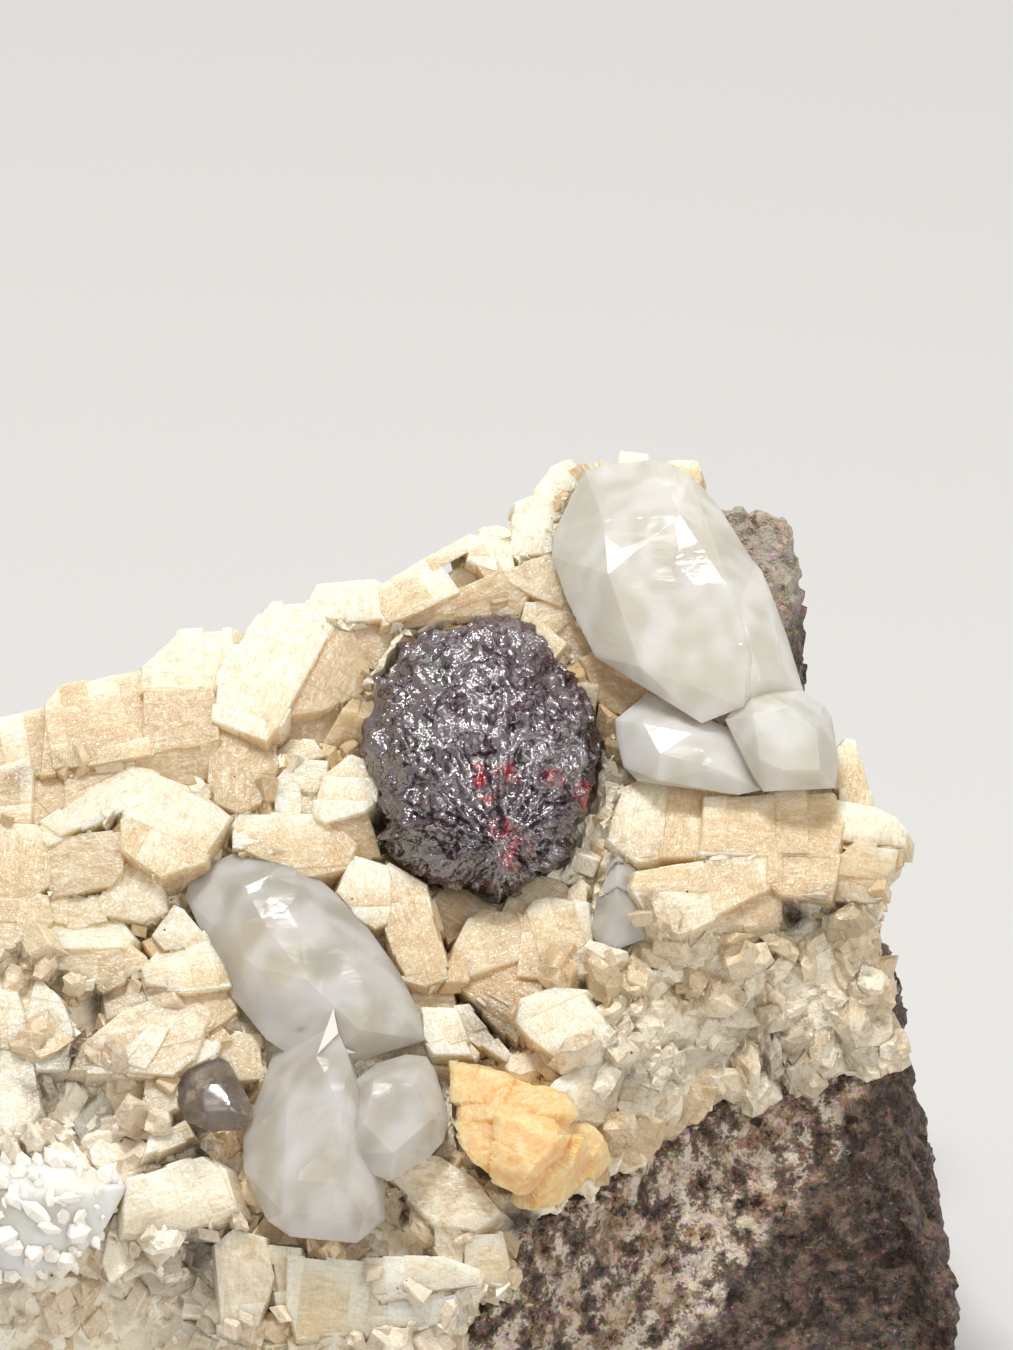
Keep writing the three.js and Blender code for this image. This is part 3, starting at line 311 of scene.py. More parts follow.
def dolomiteMaterial(name, hasGrain, facetShare=0.1, facetSize=0.3):
    material, shader = newMaterial(name)
    tree = material.node_tree
    look = dolomiteLook
    place = placeNode(tree)
    cloudy = noiseNode(tree, place, 0.4, 2, 0.6)
    fine = noiseNode(tree, place, 5, 1, 0.65)
    colour = stainNode(tree, tone(*look["cream"]), cloudy, 0.35, 0.65, 0.4, look["tan"])
    # painted light and shade: each piece's tan share is partly its own tone, partly painted shade of faces
    # in shadow
    tint = attributeNode(tree, "tint")
    colour = mixNode(tree, mathNode(tree, "MULTIPLY", tint, 0.95), colour, tone(*look["tan"]))
    # painted highlight: the least tan pieces, mostly lit tops, get the bright colour, partly their own
    # paleness
    pale = mathNode(tree, "SUBTRACT", 1, mathNode(tree, "MULTIPLY", tint, 4))  # only the least tan ones
    colour = stainNode(tree, colour, pale, 0, 1, 0.8, look["bright"])
    moss = attributeNode(tree, "moss")
    moss = mathNode(tree, "MAXIMUM", moss, attributeNode(tree, "green"))
    moss = mathNode(tree, "MULTIPLY", moss, rangeNode(tree, cloudy, 0.3, 0.6, 0.4, 1))
    wisps = noiseNode(tree, placeNode(tree, (0.55, 1, 1), (0.3, 0.5, 0.6)), 0.95, 3, 0.7, 1.2)
    crust = stainNode(tree, tone(*look["moss"]), wisps, 0.52, 0.36, 0.8, look["mossShade"])
    colour = mixNode(tree, moss, colour, crust)
    colour = mixNode(tree, attributeNode(tree, "frost"), colour, tone(*look["frost"]))
    height = fine
    mottle = noiseNode(tree, place, 1.5, 2, 0.72)
    colour = stainNode(tree, colour, mottle, 0.46, 0.3, 0.3, look["tan"])
    colour = stainNode(tree, colour, mottle, 0.54, 0.68, 0.25, look["bright"])
    if hasGrain:
        grain = newNode(tree, "ShaderNodeUVMap", uv_map="grain").outputs[0]
        lines = {"Vector": grain, "Scale": (0.7, 3.2, 1)}  # long along the grain
        streaks = noiseNode(tree, newNode(tree, "ShaderNodeMapping", lines).outputs[0], 1, 2, 0.7, 1)
        height = mathNode(tree, "ADD", mathNode(tree, "MULTIPLY", streaks, 0.9), fine)
        colour = stainNode(tree, colour, streaks, 0.52, 0.68, 0.4, look["bright"])
        colour = stainNode(tree, colour, streaks, 0.48, 0.34, 0.28, look["tan"])
    colour = stainNode(tree, colour, fine, 0.55, 0.75, 0.2, look["bright"])
    # painted shade: hollows are darkened to brown where shadow falls in them
    paintedHollowShade = attributeNode(tree, "paintedHollowShade")
    colour = mixNode(tree, paintedHollowShade, colour, tone(*look["paintedHollowShade"]))
    specks = cellNode(tree, place, 0.36)
    colour = mixNode(tree, rangeNode(tree, specks, 0.022, 0.034, 1, 0), colour, tone(*look["speck"]))
    height = mathNode(tree, "ADD", height, mathNode(tree, "MULTIPLY", mottle, 1.6))
    facets = facetNode(tree, place, 1 / facetSize, facetShare)
    feed(shader, {
        "Base Color": colour,
        "Roughness": rangeNode(tree, fine, 0.3, 0.7, look["roughness"] - 0.12, look["roughness"] + 0.15),
        "Normal": bumpNode(tree, height, 0.09, 0.8, facets),
        "IOR": 1.6,
        "Subsurface Weight": look["glow"] if hasGrain else 0,
        "Subsurface Radius": (1, 0.86, 0.68),
        "Subsurface Scale": look["glowDepth"] * mm,
    })
    return material


# The dolomite crystals: how tan and how green each is, its depth, and its front's corners as
# [across, up, out from the mean face] in millimetres of the straight view.
# How tan each is stands partly for its own tone and partly for painted shade on faces in shadow; the least
# tan are mostly painted as lit tops.
crestForms = [
    [0.25, 0, 3.6, [[-26, 39.3, 0], [-18.1, 40.9, 0], [-17.9, 38, 0.6], [-18.3, 37.1, 0.8],
        [-26, 36.3, 0.8]]],
    [0.3, 0, 3, [[-24, 37, 1.2], [-19.2, 37.1, 1.2], [-19.3, 34.1, 1.3], [-24, 33.6, 1.3]]],
    [0.45, 0, 4, [[-18.4, 37.2, 1.2], [-18.1, 41, 0.6], [-17.2, 42.1, 0], [-12.4, 43.2, -0.2],
        [-12.2, 38.3, 1.4]]],
    [0.65, 0.1, 3.2, [[-12.3, 38.2, 1.3], [-12.2, 42, 0.8], [-8.3, 42.1, 1], [-8, 39.2, 1.6]]],
    [0.7, 0.2, 2.6, [[-12.7, 38.3, 1.3], [-8, 39.2, 1.5], [-8.6, 37, 0.6], [-9.4, 36.2, 0.4],
        [-12.7, 37.4, 0.9]]],
    [0.05, 0, 3.4, [[-12.4, 42, 0.8], [-12.3, 43.4, 0.2], [-10.2, 45.4, -0.6], [-7.3, 45.6, -0.6],
        [-6.9, 42.3, 1]]],
    [0.08, 0, 3.8, [[-8, 40.3, 1.6], [-7.8, 43, 1.2], [-5.2, 46.6, -0.2], [-2, 46.4, 0],
        [-1.3, 45.6, 0.1], [-4.2, 40.2, 2], [-5, 39.2, 2.2], [-6, 39.6, 2]]],
    [0.7, 0.2, 3.2, [[-1.3, 46.2, -0.2], [0.1, 45.6, -0.4], [0.7, 43.2, -0.8], [1.3, 42.4, -1.2],
        [-1.2, 41, 0.2], [-3.8, 40.6, 1.2]]],
    [0.02, 0, 3, [[-5.2, 46.4, -0.4], [-4.6, 47.2, -0.8], [-2.5, 47.35, -0.8], [-1.4, 46.1, -0.2]]],
    [0, 0, 3, [[-2.6, 46.6, -0.4], [-2.3, 47.6, -0.8], [-1.9, 48.3, -1], [0.2, 48.5, -1],
        [0.2, 46.2, 0]]],
    [0, 0, 3, [[-0.2, 46.2, 0.1], [0, 48.5, -0.9], [1.4, 48.6, -0.9], [1.9, 48.3, -0.8], [2, 46.4, 0.1]]],
    [0.85, 0.4, 2.6, [[0, 45.6, -0.8], [2.1, 46.9, -0.6], [2.7, 45.2, -0.8], [1.7, 43.2, -1.2],
        [0.4, 43.6, -1.2]]],
    [0.15, 0, 3, [[1.9, 48.3, -0.6], [2.1, 46.2, 0.4], [3.3, 46.5, 0.5], [8.9, 49.1, 0.2], [8, 51, -0.8],
        [7, 51.2, -0.8], [5, 50.1, -0.7], [3.2, 49, -0.7]]],
    [0.6, 0.15, 2.6, [[3.2, 46.5, 0.1], [8.8, 49, 0.2], [10.6, 47.8, -0.2], [10, 46.6, -0.4],
        [6.8, 46.4, -0.6], [3.4, 45.7, -0.6]]],
    [0, 0, 3, [[7.4, 50.7, -0.8], [7.9, 51.7, -1], [8.8, 51.8, -1], [9.6, 51.4, -1], [9.9, 49.2, 0],
        [8.6, 49.3, 0.2], [7.2, 49.8, -0.2]]],
    [0.6, 0.5, 2.6, [[9.3, 49.2, 0.1], [12, 50, -0.4], [13, 47.6, -0.4], [12.6, 47.1, -0.2],
        [11, 47.7, 0], [9.3, 48.7, 0.2]]],
    [0.4, 0.2, 2.6, [[10.3, 46, -0.2], [10.6, 47.3, -0.2], [13, 47.3, -0.4], [13.3, 46.2, -0.5],
        [11.8, 45.2, -0.5]]],
    [0.75, 0, 2.6, [[13.9, 43.8, 0.2], [14.9, 44, 0.4], [17.3, 43.3, 0.8], [17.8, 42, 0.8],
        [16.2, 40.6, 0.2], [15.1, 41.2, -0.2], [14.4, 42.5, 0]]],
    [0.6, 0.3, 2.4, [[13, 47.2, -0.6], [14.8, 44.2, -0.8], [15.1, 43.4, -0.8], [14.2, 43, -0.8],
        [12.2, 44.8, -0.8]]],
    [0, 0, 3, [[9.7, 50.2, -0.6], [9.9, 53.2, -1.2], [11.1, 53.6, -1.3], [12.1, 52.1, -1],
        [12.1, 50.3, -0.8]]],
    [0, 0, 3, [[11, 51.6, -1.1], [11.1, 54, -1.5], [12.1, 55.3, -1.9], [12.9, 52.6, -1.4]]],
    [0, 0, 3, [[12.1, 53.4, -1.5], [12.1, 55.3, -2], [13, 55.7, -2.1], [14.6, 55.95, -2.2],
        [15.7, 55.5, -2.2], [14, 54.4, -2]]],
    [0, 0, 2.6, [[16, 54.4, -2.6], [16.3, 56.3, -3.1], [17.9, 56.1, -3.1], [17.9, 54.4, -2.6]]],
    [0.3, 0, 2.6, [[18.9, 54, -2.4], [19, 55.7, -2.8], [19.7, 55.8, -2.8], [20.7, 55.7, -2.9],
        [21, 54.9, -2.8], [20.6, 53.2, -2.4]]],
]
upperForms = [
    [0.75, 0.1, 3, [[-8.2, 39.9, 0.9], [-7, 40.6, 1], [-5, 39.1, 1.1], [-4.5, 37.6, 1], [-5.3, 35.4, 1.2],
        [-6.6, 34.8, 1.3], [-7.8, 35.3, 1.3], [-8.4, 36.6, 1.1]]],
    [0, 0, 3.4, [[-18.9, 33.6, 1.2], [-13.2, 37.6, 0.6], [-11.6, 36.8, 1], [-12.6, 35.2, 2.2],
        [-14.6, 34.4, 2.6], [-17.9, 32.9, 2.4]]],
    [0.2, 0, 4, [[-11.7, 36.8, 1.2], [-9.3, 35.9, 1.2], [-7.3, 34.3, 1.6], [-8.9, 31.9, 2.6],
        [-11.3, 31, 3], [-13.5, 32.5, 3], [-13.6, 34.2, 2.6], [-12.4, 35.6, 2]]],
    [0.55, 0.35, 3.4, [[-18, 32.9, 2.1], [-13.6, 33.4, 2.5], [-13.8, 31.2, 2.1], [-14.4, 30.2, 1.9],
        [-17.8, 29.6, 1.7], [-18.1, 31, 1.8]]],
    [0.3, 0.75, 3, [[-13.6, 31.8, 1.6], [-11.6, 31.1, 1.8], [-11.2, 28.9, 1.6], [-12.4, 28.2, 1.6],
        [-14.8, 28.6, 1.6], [-15, 29.5, 1.6]]],
    [0.5, 0.3, 3, [[-18, 29.6, 1.4], [-15, 29.6, 1.4], [-14.7, 28.2, 1.6], [-16.6, 27.8, 1.7],
        [-18.2, 28.4, 1.6]]],
    [0, 0, 3, [[-19.8, 27.4, 1.2], [-18, 28.1, 1], [-13.8, 28.1, 1], [-13.2, 27.2, 1.8],
        [-13.6, 26.6, 2.2], [-19.2, 26.4, 2.4]]],
    [0.35, 0.25, 3, [[-18.2, 26.5, 2.1], [-13.4, 26.7, 2.1], [-12.1, 25.6, 1.9], [-13.2, 25, 1.8],
        [-14.8, 24.1, 1.7], [-17, 25.3, 1.8], [-18.4, 25.8, 1.9]]],
    [0.15, 0, 3, [[-12.3, 25.2, 2], [-11.4, 26.2, 1.4], [-8.3, 26.9, 1.4], [-7.6, 25.6, 1.8],
        [-7.3, 24.3, 2], [-10, 24, 2.4], [-12.1, 24.4, 2.3]]],
    [0.25, 0.35, 3, [[-10.5, 29.1, 1.2], [-9.9, 28.8, 1.3], [-8.1, 26.7, 1.4], [-11, 26.6, 1.6],
        [-11.7, 27.4, 1.4]]],
    [0.35, 0.05, 3.4, [[-23, 34, 1.2], [-19, 33.8, 1.6], [-18, 32.8, 1.9], [-18.2, 30.4, 1.9],
        [-19.3, 29.6, 1.8], [-23, 29.8, 1.6]]],
    [0.45, 0.1, 3.2, [[-24, 30, 1.6], [-18.3, 29.6, 1.8], [-18, 28.2, 1.8], [-19, 27.2, 2],
        [-20.5, 26.7, 2], [-24, 27, 1.8]]],
    [0.6, 0.2, 2.6, [[-19, 37, 0.4], [-16.8, 36.8, 0.4], [-16.4, 35.6, 0.5], [-18.9, 33.8, 0.8],
        [-19.3, 35.2, 0.6]]],
    [0.4, 0.1, 2.6, [[-17, 36.8, 0.6], [-13.4, 37.6, 0.6], [-14, 36.8, 0.7], [-17, 34.9, 0.9]]],
]
innerForms = [
    [0.9, 0.3, 2, [[-4.9, 39, -0.4], [-3.4, 40.9, -0.6], [-0.9, 41, -0.8], [1.4, 42.2, -1.2],
        [1, 40, -1.4], [-1, 39.2, -1], [-3, 38.8, -0.8], [-4.3, 38, -0.5]]],
    [0.3, 0.5, 2.4, [[-4.3, 38.3, 0.2], [-3.5, 39, 0], [-2.2, 38.9, 0.1], [-1.6, 38, 0.4],
        [-3, 37.7, 0.5], [-3.8, 37.4, 0.4]]],
    [0.15, 0.4, 2.4, [[-3.4, 37.2, 0.8], [-2.9, 37.8, 0.6], [-1.4, 37.7, 0.7], [-1.5, 36.8, 0.9],
        [-2, 36, 0.9], [-3, 36, 0.9]]],
    [0.1, 0.85, 2.6, [[-4.6, 36.4, 1], [-3.9, 37.1, 0.8], [-3.2, 36.9, 0.9], [-3.1, 35, 1],
        [-3.2, 34.6, 1], [-4.6, 34.8, 1]]],
    [0.4, 0.4, 2.4, [[-3.1, 36.2, 0.6], [-2, 36, 0.6], [-1.9, 34.6, 0.6], [-3.2, 34.7, 0.6]]],
    [0.1, 0, 3, [[-2, 35.4, 1.5], [-1.6, 36.8, 1.4], [-0.9, 37.3, 1.2], [0, 38, 1], [1.3, 37.5, 1.2],
        [1.5, 37, 1.4], [1.4, 35.2, 1.7], [0.9, 34.8, 1.8], [-0.3, 34.5, 1.8], [-1.3, 34.2, 1.8],
        [-1.9, 34.5, 1.6]]],
    [0.8, 0.1, 2.4, [[-1.2, 34.1, 1.4], [1, 34.8, 1.2], [1.4, 33, 0.8], [1.8, 32, 0.4], [0.4, 32, 0.4],
        [0.2, 32.8, 0.8]]],
    [0.2, 0.05, 3.2, [[-6.8, 33.8, 1.4], [-6.4, 34.4, 1.2], [-2, 34.5, 1], [-1.1, 34, 1],
        [0.2, 32.8, 1.2], [-0.4, 31.5, 1.6], [-2.8, 31, 2], [-3.6, 32.2, 1.9], [-6.1, 32.4, 1.8]]],
    [0, 0, 2, [[-7, 33.5, 1.6], [-6.6, 33.9, 1.5], [-6.1, 33, 1.8], [-6.3, 32.5, 1.9], [-7, 32.6, 1.8]]],
    [0.25, 0, 3, [[-0.7, 29.9, 1.8], [0.3, 31.9, 1.4], [2.3, 31.3, 1.6], [2.3, 29, 2], [2.1, 28.1, 2],
        [1.4, 27.8, 2], [0.5, 28.4, 2]]],
    [0.3, 0, 3.2, [[2.3, 31.3, 1.6], [4.4, 30.1, 1.8], [4.7, 28.7, 2.2], [5.8, 24.9, 2], [4.6, 24.5, 2],
        [3.4, 24.8, 2.1], [2.8, 25.8, 2.2], [2.2, 27.6, 2]]],
    [0.75, 0.1, 2.8, [[4.6, 29, 1.8], [5, 29.3, 1.2], [5.8, 26.5, 1.2], [6, 24.8, 1], [5.7, 24.9, 1.8]]],
    [0.8, 0.1, 2, [[5.1, 29.5, -0.4], [6, 30.2, -0.4], [7, 29.9, -0.4], [8.6, 28.8, -0.4],
        [7.4, 28.5, -0.4], [6.6, 27.3, -0.4], [6, 27, -0.4], [5.5, 28.5, -0.4]]],
    [0.5, 0.3, 2, [[9.6, 29.2, 0.2], [9.8, 29.8, 0], [11, 30.8, -0.2], [12, 30.6, -0.2],
        [12.8, 30.3, -0.2], [13.1, 29.9, 0], [12.9, 29.2, 0.2], [11.4, 29.3, 0.3], [10.4, 28.1, 0.4],
        [9.3, 28.6, 0.3]]],
    [0.4, 0.3, 2, [[13.2, 30, 0.4], [13.8, 30.6, 0.3], [14.3, 30.2, 0.4], [14.2, 29.2, 0.6],
        [13.2, 29.1, 0.6]]],
    [0.5, 0.15, 3, [[6, 25.2, 1], [6.4, 26.8, 1.2], [7.1, 28.2, 1], [8, 28.8, 0.8], [9.2, 28.6, 1],
        [10.4, 28.3, 1.2], [10.5, 27, 1.6], [9.9, 25.9, 1.8], [8, 25.4, 1.8], [7.2, 24.9, 1.6]]],
    [0.35, 0.05, 3, [[10.3, 26.2, 1.8], [10.6, 28.4, 1.4], [11.1, 29.1, 1], [12.3, 29.4, 0.8],
        [14.2, 29, 0.8], [14.3, 28, 1], [14, 26.4, 1.4], [14.6, 25.2, 1.6], [12, 24.8, 2],
        [10.2, 25, 1.9]]],
    [0.85, 0, 3, [[6.7, 24.3, 1.2], [7.8, 25.4, 1.2], [9.6, 25.8, 1.4], [13.2, 24.4, 1.6],
        [12, 23.9, 1.6], [10.6, 23.6, 1.6], [10.2, 22.3, 1.6], [9.9, 21, 1.4], [8.4, 22.4, 1.2],
        [7.2, 23.8, 1.2]]],
    [0, 0, 3, [[10.4, 23.4, 2.4], [12, 24, 2.2], [14, 23.8, 2.2], [15.8, 21, 2.8], [13.6, 19.9, 3.2],
        [12.6, 19.9, 3.2], [11.2, 21, 3.2], [10.2, 22.2, 3]]],
    [0.6, 0, 2.6, [[11, 21.2, 2.9], [13.6, 20.1, 2.9], [12.6, 19.1, 2.2], [11.8, 19.6, 2.2]]],
    [0.3, 0.05, 3, [[11.8, 17.7, 2.6], [12.4, 18.4, 2.5], [14.4, 19.7, 2.2], [16.2, 20.1, 2],
        [16.3, 19, 2.1], [15.6, 16.3, 2.6], [13.4, 16.2, 2.9], [12.6, 17.2, 2.9]]],
    [0.15, 0.05, 2.4, [[4.4, 22.9, 1.8], [6.3, 22.8, 1.8], [7.3, 20.3, 2.2], [5.2, 20.3, 2.2],
        [4.5, 21.2, 2]]],
    [0.1, 0.2, 2, [[6.2, 22.9, 1], [7.1, 23, 0.9], [7.8, 22.2, 1], [7.7, 21.4, 1.1], [8.7, 20.8, 1.2],
        [9.6, 20.1, 1.3], [9.2, 19.8, 1.4], [8, 20.6, 1.4], [7.1, 21.2, 1.2]]],
    [0.8, 0.2, 2.2, [[3.7, 24.2, 0.6], [5.5, 24.6, 0.6], [6.1, 24.2, 0.6], [6.3, 23, 0.7],
        [4, 22.9, 0.8]]],
]
rightForms = [
    [0.3, 0.45, 3, [[15.9, 34.8, 1], [16.3, 35.9, 0.6], [17.6, 36.5, 0.4], [19.3, 36.1, 0.6],
        [19, 33.2, 1.4], [18.7, 32.1, 1.5], [17.3, 31.8, 1.5], [15.6, 33.2, 1.2]]],
    [0.35, 0, 3.2, [[19.2, 36, 0.8], [21.6, 36.3, 0.6], [21.4, 33.2, 1.7], [21.2, 32.1, 1.9],
        [18.8, 32.1, 1.8]]],
    [0.35, 0, 2.6, [[21.4, 36.5, 0.5], [22, 36.6, 0.4], [23.2, 36.4, 0.4], [23.2, 35.7, 0.8],
        [21.7, 35.3, 1]]],
    [0.35, 0, 3.8, [[21.6, 35.4, 1.6], [28.8, 35.8, 0.8], [29.4, 34, 1.6], [29, 32.2, 2.4],
        [21.3, 32.2, 2.4]]],
    [0.6, 0, 3, [[25.2, 32, 2.4], [29.3, 32, 2.4], [28.8, 29.4, 2.6], [25.9, 29.8, 2.6],
        [25.1, 30.4, 2.5]]],
    [0.2, 0, 3, [[29.2, 35.3, 0.6], [31.4, 34.9, 0.4], [32.6, 34.3, 0.2], [33.3, 33.5, 0],
        [33.2, 32.7, 0.2], [30.8, 32.9, 1.2], [29.4, 33.2, 1.6]]],
    [0.45, 0.15, 3, [[30.3, 32.8, 1.6], [32.8, 32.5, 0.6], [32.6, 31.6, 0.8], [31.7, 30.7, 1],
        [29.2, 31, 2.2], [29, 31.6, 2.3]]],
    [0.55, 0.15, 2.8, [[29, 31, 2], [31.7, 30.7, 1], [31.9, 29.5, 0.9], [28.9, 29.5, 2]]],
    [0.35, 0, 2, [[29.3, 38.4, -0.6], [29.8, 39, -0.8], [30.3, 38.9, -0.8], [30.8, 37.3, -0.6],
        [31.3, 35, -0.2], [29.3, 35, 0]]],
    [0.3, 0, 3.6, [[17.4, 31, 2.8], [21, 31.6, 2.6], [25.2, 31.9, 2.2], [25.6, 30.4, 2.4],
        [22.6, 28.9, 3], [20, 27.5, 3.2], [18.3, 28, 3.2], [17.1, 30.1, 3]]],
    [0.75, 0.2, 3, [[22.4, 29.4, 2.2], [25.6, 30.3, 2], [25.9, 28, 1.8], [24, 27.1, 1.8],
        [21.3, 27.7, 2.2]]],
]
lowerForms = [
    [0.6, 0.6, 3.6, [[-16.4, 19.3, 2.4], [-15.8, 20.8, 2.3], [-13.6, 22.6, 2], [-10.4, 23.9, 1.6],
        [-8.6, 22.6, 1.7], [-9.6, 20, 2.3], [-10.8, 19.1, 2.5], [-13, 19.3, 2.6]]],
    [0.05, 0, 2.6, [[-14, 19.9, 2.7], [-12.3, 19.4, 2.75], [-11, 21.7, 2.4], [-12, 21.9, 2.4]]],
    [0.65, 0.1, 2.8, [[-10.4, 24, 1.6], [-7.2, 24.3, 1.4], [-6.9, 22.8, 1.4], [-7.9, 22, 1.5],
        [-9.2, 21.3, 1.7], [-9.8, 22.6, 1.7]]],
    [0.7, 0.2, 2, [[-8.6, 21, 1.2], [-7.9, 22, 1], [-7.1, 21.1, 1.2], [-8, 20.9, 1.4]]],
    [0.1, 0.3, 2.4, [[-10.6, 20.2, 1.6], [-9, 21.2, 1.4], [-7.9, 20.9, 1.4], [-8.2, 20.1, 1.6],
        [-9.9, 19.3, 1.8]]],
    [0.6, 0.3, 2.6, [[-8, 20.6, 0.8], [-7, 21.3, 0.8], [-5.4, 21.3, 0.8], [-5.2, 18.8, 0.8],
        [-6.6, 18.7, 0.8]]],
    [0.4, 0.4, 2.4, [[-14.8, 24, 0.9], [-13.6, 24.6, 0.8], [-11.1, 24.2, 1], [-12, 23.4, 1.2],
        [-14.5, 22.3, 1.2]]],
    [0.15, 0.5, 3, [[-18.6, 24.6, 1.6], [-17.2, 23.2, 1.8], [-16.6, 21.6, 1.9], [-17, 19.4, 2],
        [-18.8, 19.4, 2], [-19.4, 22, 1.8]]],
    [0.2, 0.4, 3, [[-24, 24, 1.6], [-20.1, 23.9, 1.6], [-19.4, 21.8, 1.8], [-20.2, 20.7, 1.9],
        [-24, 20.5, 1.9]]],
    [0.2, 0.45, 3, [[-21, 20.4, 1.7], [-19.2, 20.6, 1.7], [-18.8, 18.8, 1.8], [-18.6, 17, 1.9],
        [-19.8, 15, 2], [-21, 15, 2]]],
    [0.65, 0.2, 2.6, [[-12.2, 18.8, 1.6], [-10.6, 18.8, 1.6], [-10.4, 17, 1.7], [-11.9, 16.3, 1.8],
        [-12.4, 17.8, 1.7]]],
    [0.3, 0.1, 2.4, [[-12.2, 14.1, 1.8], [-11.9, 15.2, 1.6], [-10, 15.6, 1.5], [-9.9, 16.1, 1.3],
        [-9.4, 15.2, 1.6]]],
    [0.2, 0.15, 3, [[-13.2, 12.6, 1.9], [-10.2, 13.6, 1.8], [-9, 13.9, 1.7], [-7.6, 13, 1.8],
        [-7, 11, 2.1], [-8.2, 10.2, 2.2], [-11, 9.6, 2.3], [-13.4, 9.7, 2.2], [-13.4, 11, 2]]],
    [0.3, 0.2, 3.2, [[-8, 8.6, 1.8], [-7, 9.5, 1.6], [-5.2, 9, 1.6], [-4.8, 6.8, 1.9], [-5.6, 4, 2.2],
        [-7.6, 4.4, 2.2]]],
    [0.2, 0.3, 2.6, [[-4.8, 8.6, 1.4], [-3, 8.4, 1.4], [-2.7, 5, 1.7], [-4.2, 4.9, 1.8]]],
    [0.2, 0.15, 3.2, [[-3.6, 7.9, 1.8], [0.9, 7.4, 1.8], [1.6, 5, 2.2], [1.4, 3.4, 2.4], [-3, 3.2, 2.4],
        [-3.6, 5, 2.2]]],
    [0.2, 0.15, 3.2, [[1.2, 7.9, 2], [5.6, 7.8, 2], [7.8, 7, 2.1], [7.6, 6.2, 2.4], [3.2, 5.8, 2.6],
        [1.6, 5.9, 2.5]]],
    [0.3, 0.25, 2.8, [[1.5, 5, 2.2], [4.5, 5.3, 2.2], [6.2, 5.8, 2.1], [6.4, 4.8, 2.3], [5, 4, 2.4],
        [1.5, 3.8, 2.4]]],
    [0.3, 0.2, 2.8, [[7, 9.2, 1.6], [9.1, 9.3, 1.5], [9.5, 7.4, 1.7], [9.3, 6.2, 1.8], [7.8, 6.7, 1.9],
        [7, 7.5, 1.8]]],
    [0.35, 0.3, 2.6, [[5.1, 9.9, 1.2], [6.3, 10.2, 1.1], [6.9, 9, 1.3], [6.8, 7.7, 1.5], [5.6, 7.9, 1.5],
        [5.2, 8.6, 1.4]]],
    [0.45, 0.75, 2.6, [[2.8, 13.5, 1], [3.9, 14.1, 0.9], [5.4, 14, 0.9], [7.3, 12.7, 1.1],
        [8.8, 10.8, 1.4], [7.4, 9.8, 1.5], [5, 10.2, 1.4], [3.4, 11.8, 1.2], [2.6, 12.5, 1.1]]],
]
largeForms = crestForms + upperForms + innerForms + rightForms + lowerForms

# Crystals past the left side of the view: [across, up, out, long, tall, thick, roll, hand, nod,
# turn], in millimetres and degrees.
leftRhombs = [
    [-24.8, 36.6, 0.8, 5, 4.4, 3.8, 18, 1, 34, -6],
    [-28.8, 34.2, 1, 5.4, 4.6, 3.8, 24, 1, 36, -10],
    [-24.6, 32.0, 1.8, 5, 4.6, 3.8, -18, -1, 28, 0],
    [-30.6, 30.0, 1.4, 5.2, 4.4, 3.8, 30, 1, 30, -12],
    [-26.2, 27.4, 2, 5.8, 4, 3.6, 6, 1, 30, 0],
    [-33.2, 26.4, 1, 4.6, 4.4, 3.6, -10, 1, 18, -24],
    [-30.0, 23.0, 1.8, 5, 4.2, 3.6, 24, 1, 26, -8],
    [-24.2, 22.6, 2, 4.8, 4.4, 3.6, -28, -1, 20, 0],
    [-27.2, 18.0, 2.2, 5.4, 4.2, 3.6, 10, 1, 24, 0],
    [-32.6, 18.4, 1.4, 4.6, 4.4, 3.4, -24, 1, 12, -20],
    [-29.4, 12.6, 2, 4.8, 4.2, 3.4, 16, 1, 14, -8],
    [-25.2, 8.2, 2, 5, 3.8, 3.4, -10, -1, 12, 0],
    [-30.2, 6.2, 1.6, 4.6, 4, 3.4, 20, 1, 6, -12],
]

crystalLook = {
    "seed": 11,
    "bevel": 0.04,         # mm
    "strip": 1.5,          # mm along the grain for one strip
    "step": 0.035,         # mm that neighbouring strips differ in height
    "ragged": 0.16,        # mm that strip ends differ
    "twist": 0.5,          # degrees between strips
    "tintShift": 0.16,     # how much more or less tan one strip is
    "terraces": 1,         # low steps on each front
    "cutShift": 0.22,      # share of a strip that its ends wander
    "cutGap": 0.04,        # mm between neighbouring strips
    "spread": 1.07,        # how far a front reaches past its corners, and its back past those
    "flare": 1.34,
    "back": [0, -0.25, -0.94],  # the way that the sides go back from the front
    # painted shade: the foot of each piece is painted more tan than its top, as if lit from above
    "paintedFootShade": 0.55,          # how much more tan the foot of each piece is than its top
    "rhombLean": 0.24,     # how far a rhomb's sides lean
    "fillRows": 5,         # small rhombs between the large ones, in rows from left to right
    "fillColumns": 7,
    "fillStart": -34,      # mm across
    "fillWidth": 51,
    "fillSize": 3.2,
    "fillSeed": 31,
}


# A place of the straight view, in front of the mean face, as it lies in the face's frame.
def seen(across, up, out):
    middle = stageLook["target"]
    level = faceOut(across, up) + out
    nearer = 1 - (level - middle[2]) / stageLook["distance"]
    return Vector((middle[0] + (across - middle[0]) * nearer, middle[1] + (up - middle[1]) * nearer, level))


# A form's front corners with the same corners at its back, and the way that its grain runs.
def formCorners(depth, corners):
    front = [seen(*corner) for corner in corners]
    edges = [front[i] - front[i - 1] for i in range(len(front))]
    grain = max(edges, key=lambda edge: edge.length).normalized()
    middle = sum(front, Vector()) / len(front)
    away = Vector(crystalLook["back"]) * depth
    rim = [middle + (corner - middle) * crystalLook["spread"] for corner in front]
    return rim + [middle + away + (corner - middle) * crystalLook["flare"] for corner in front], grain


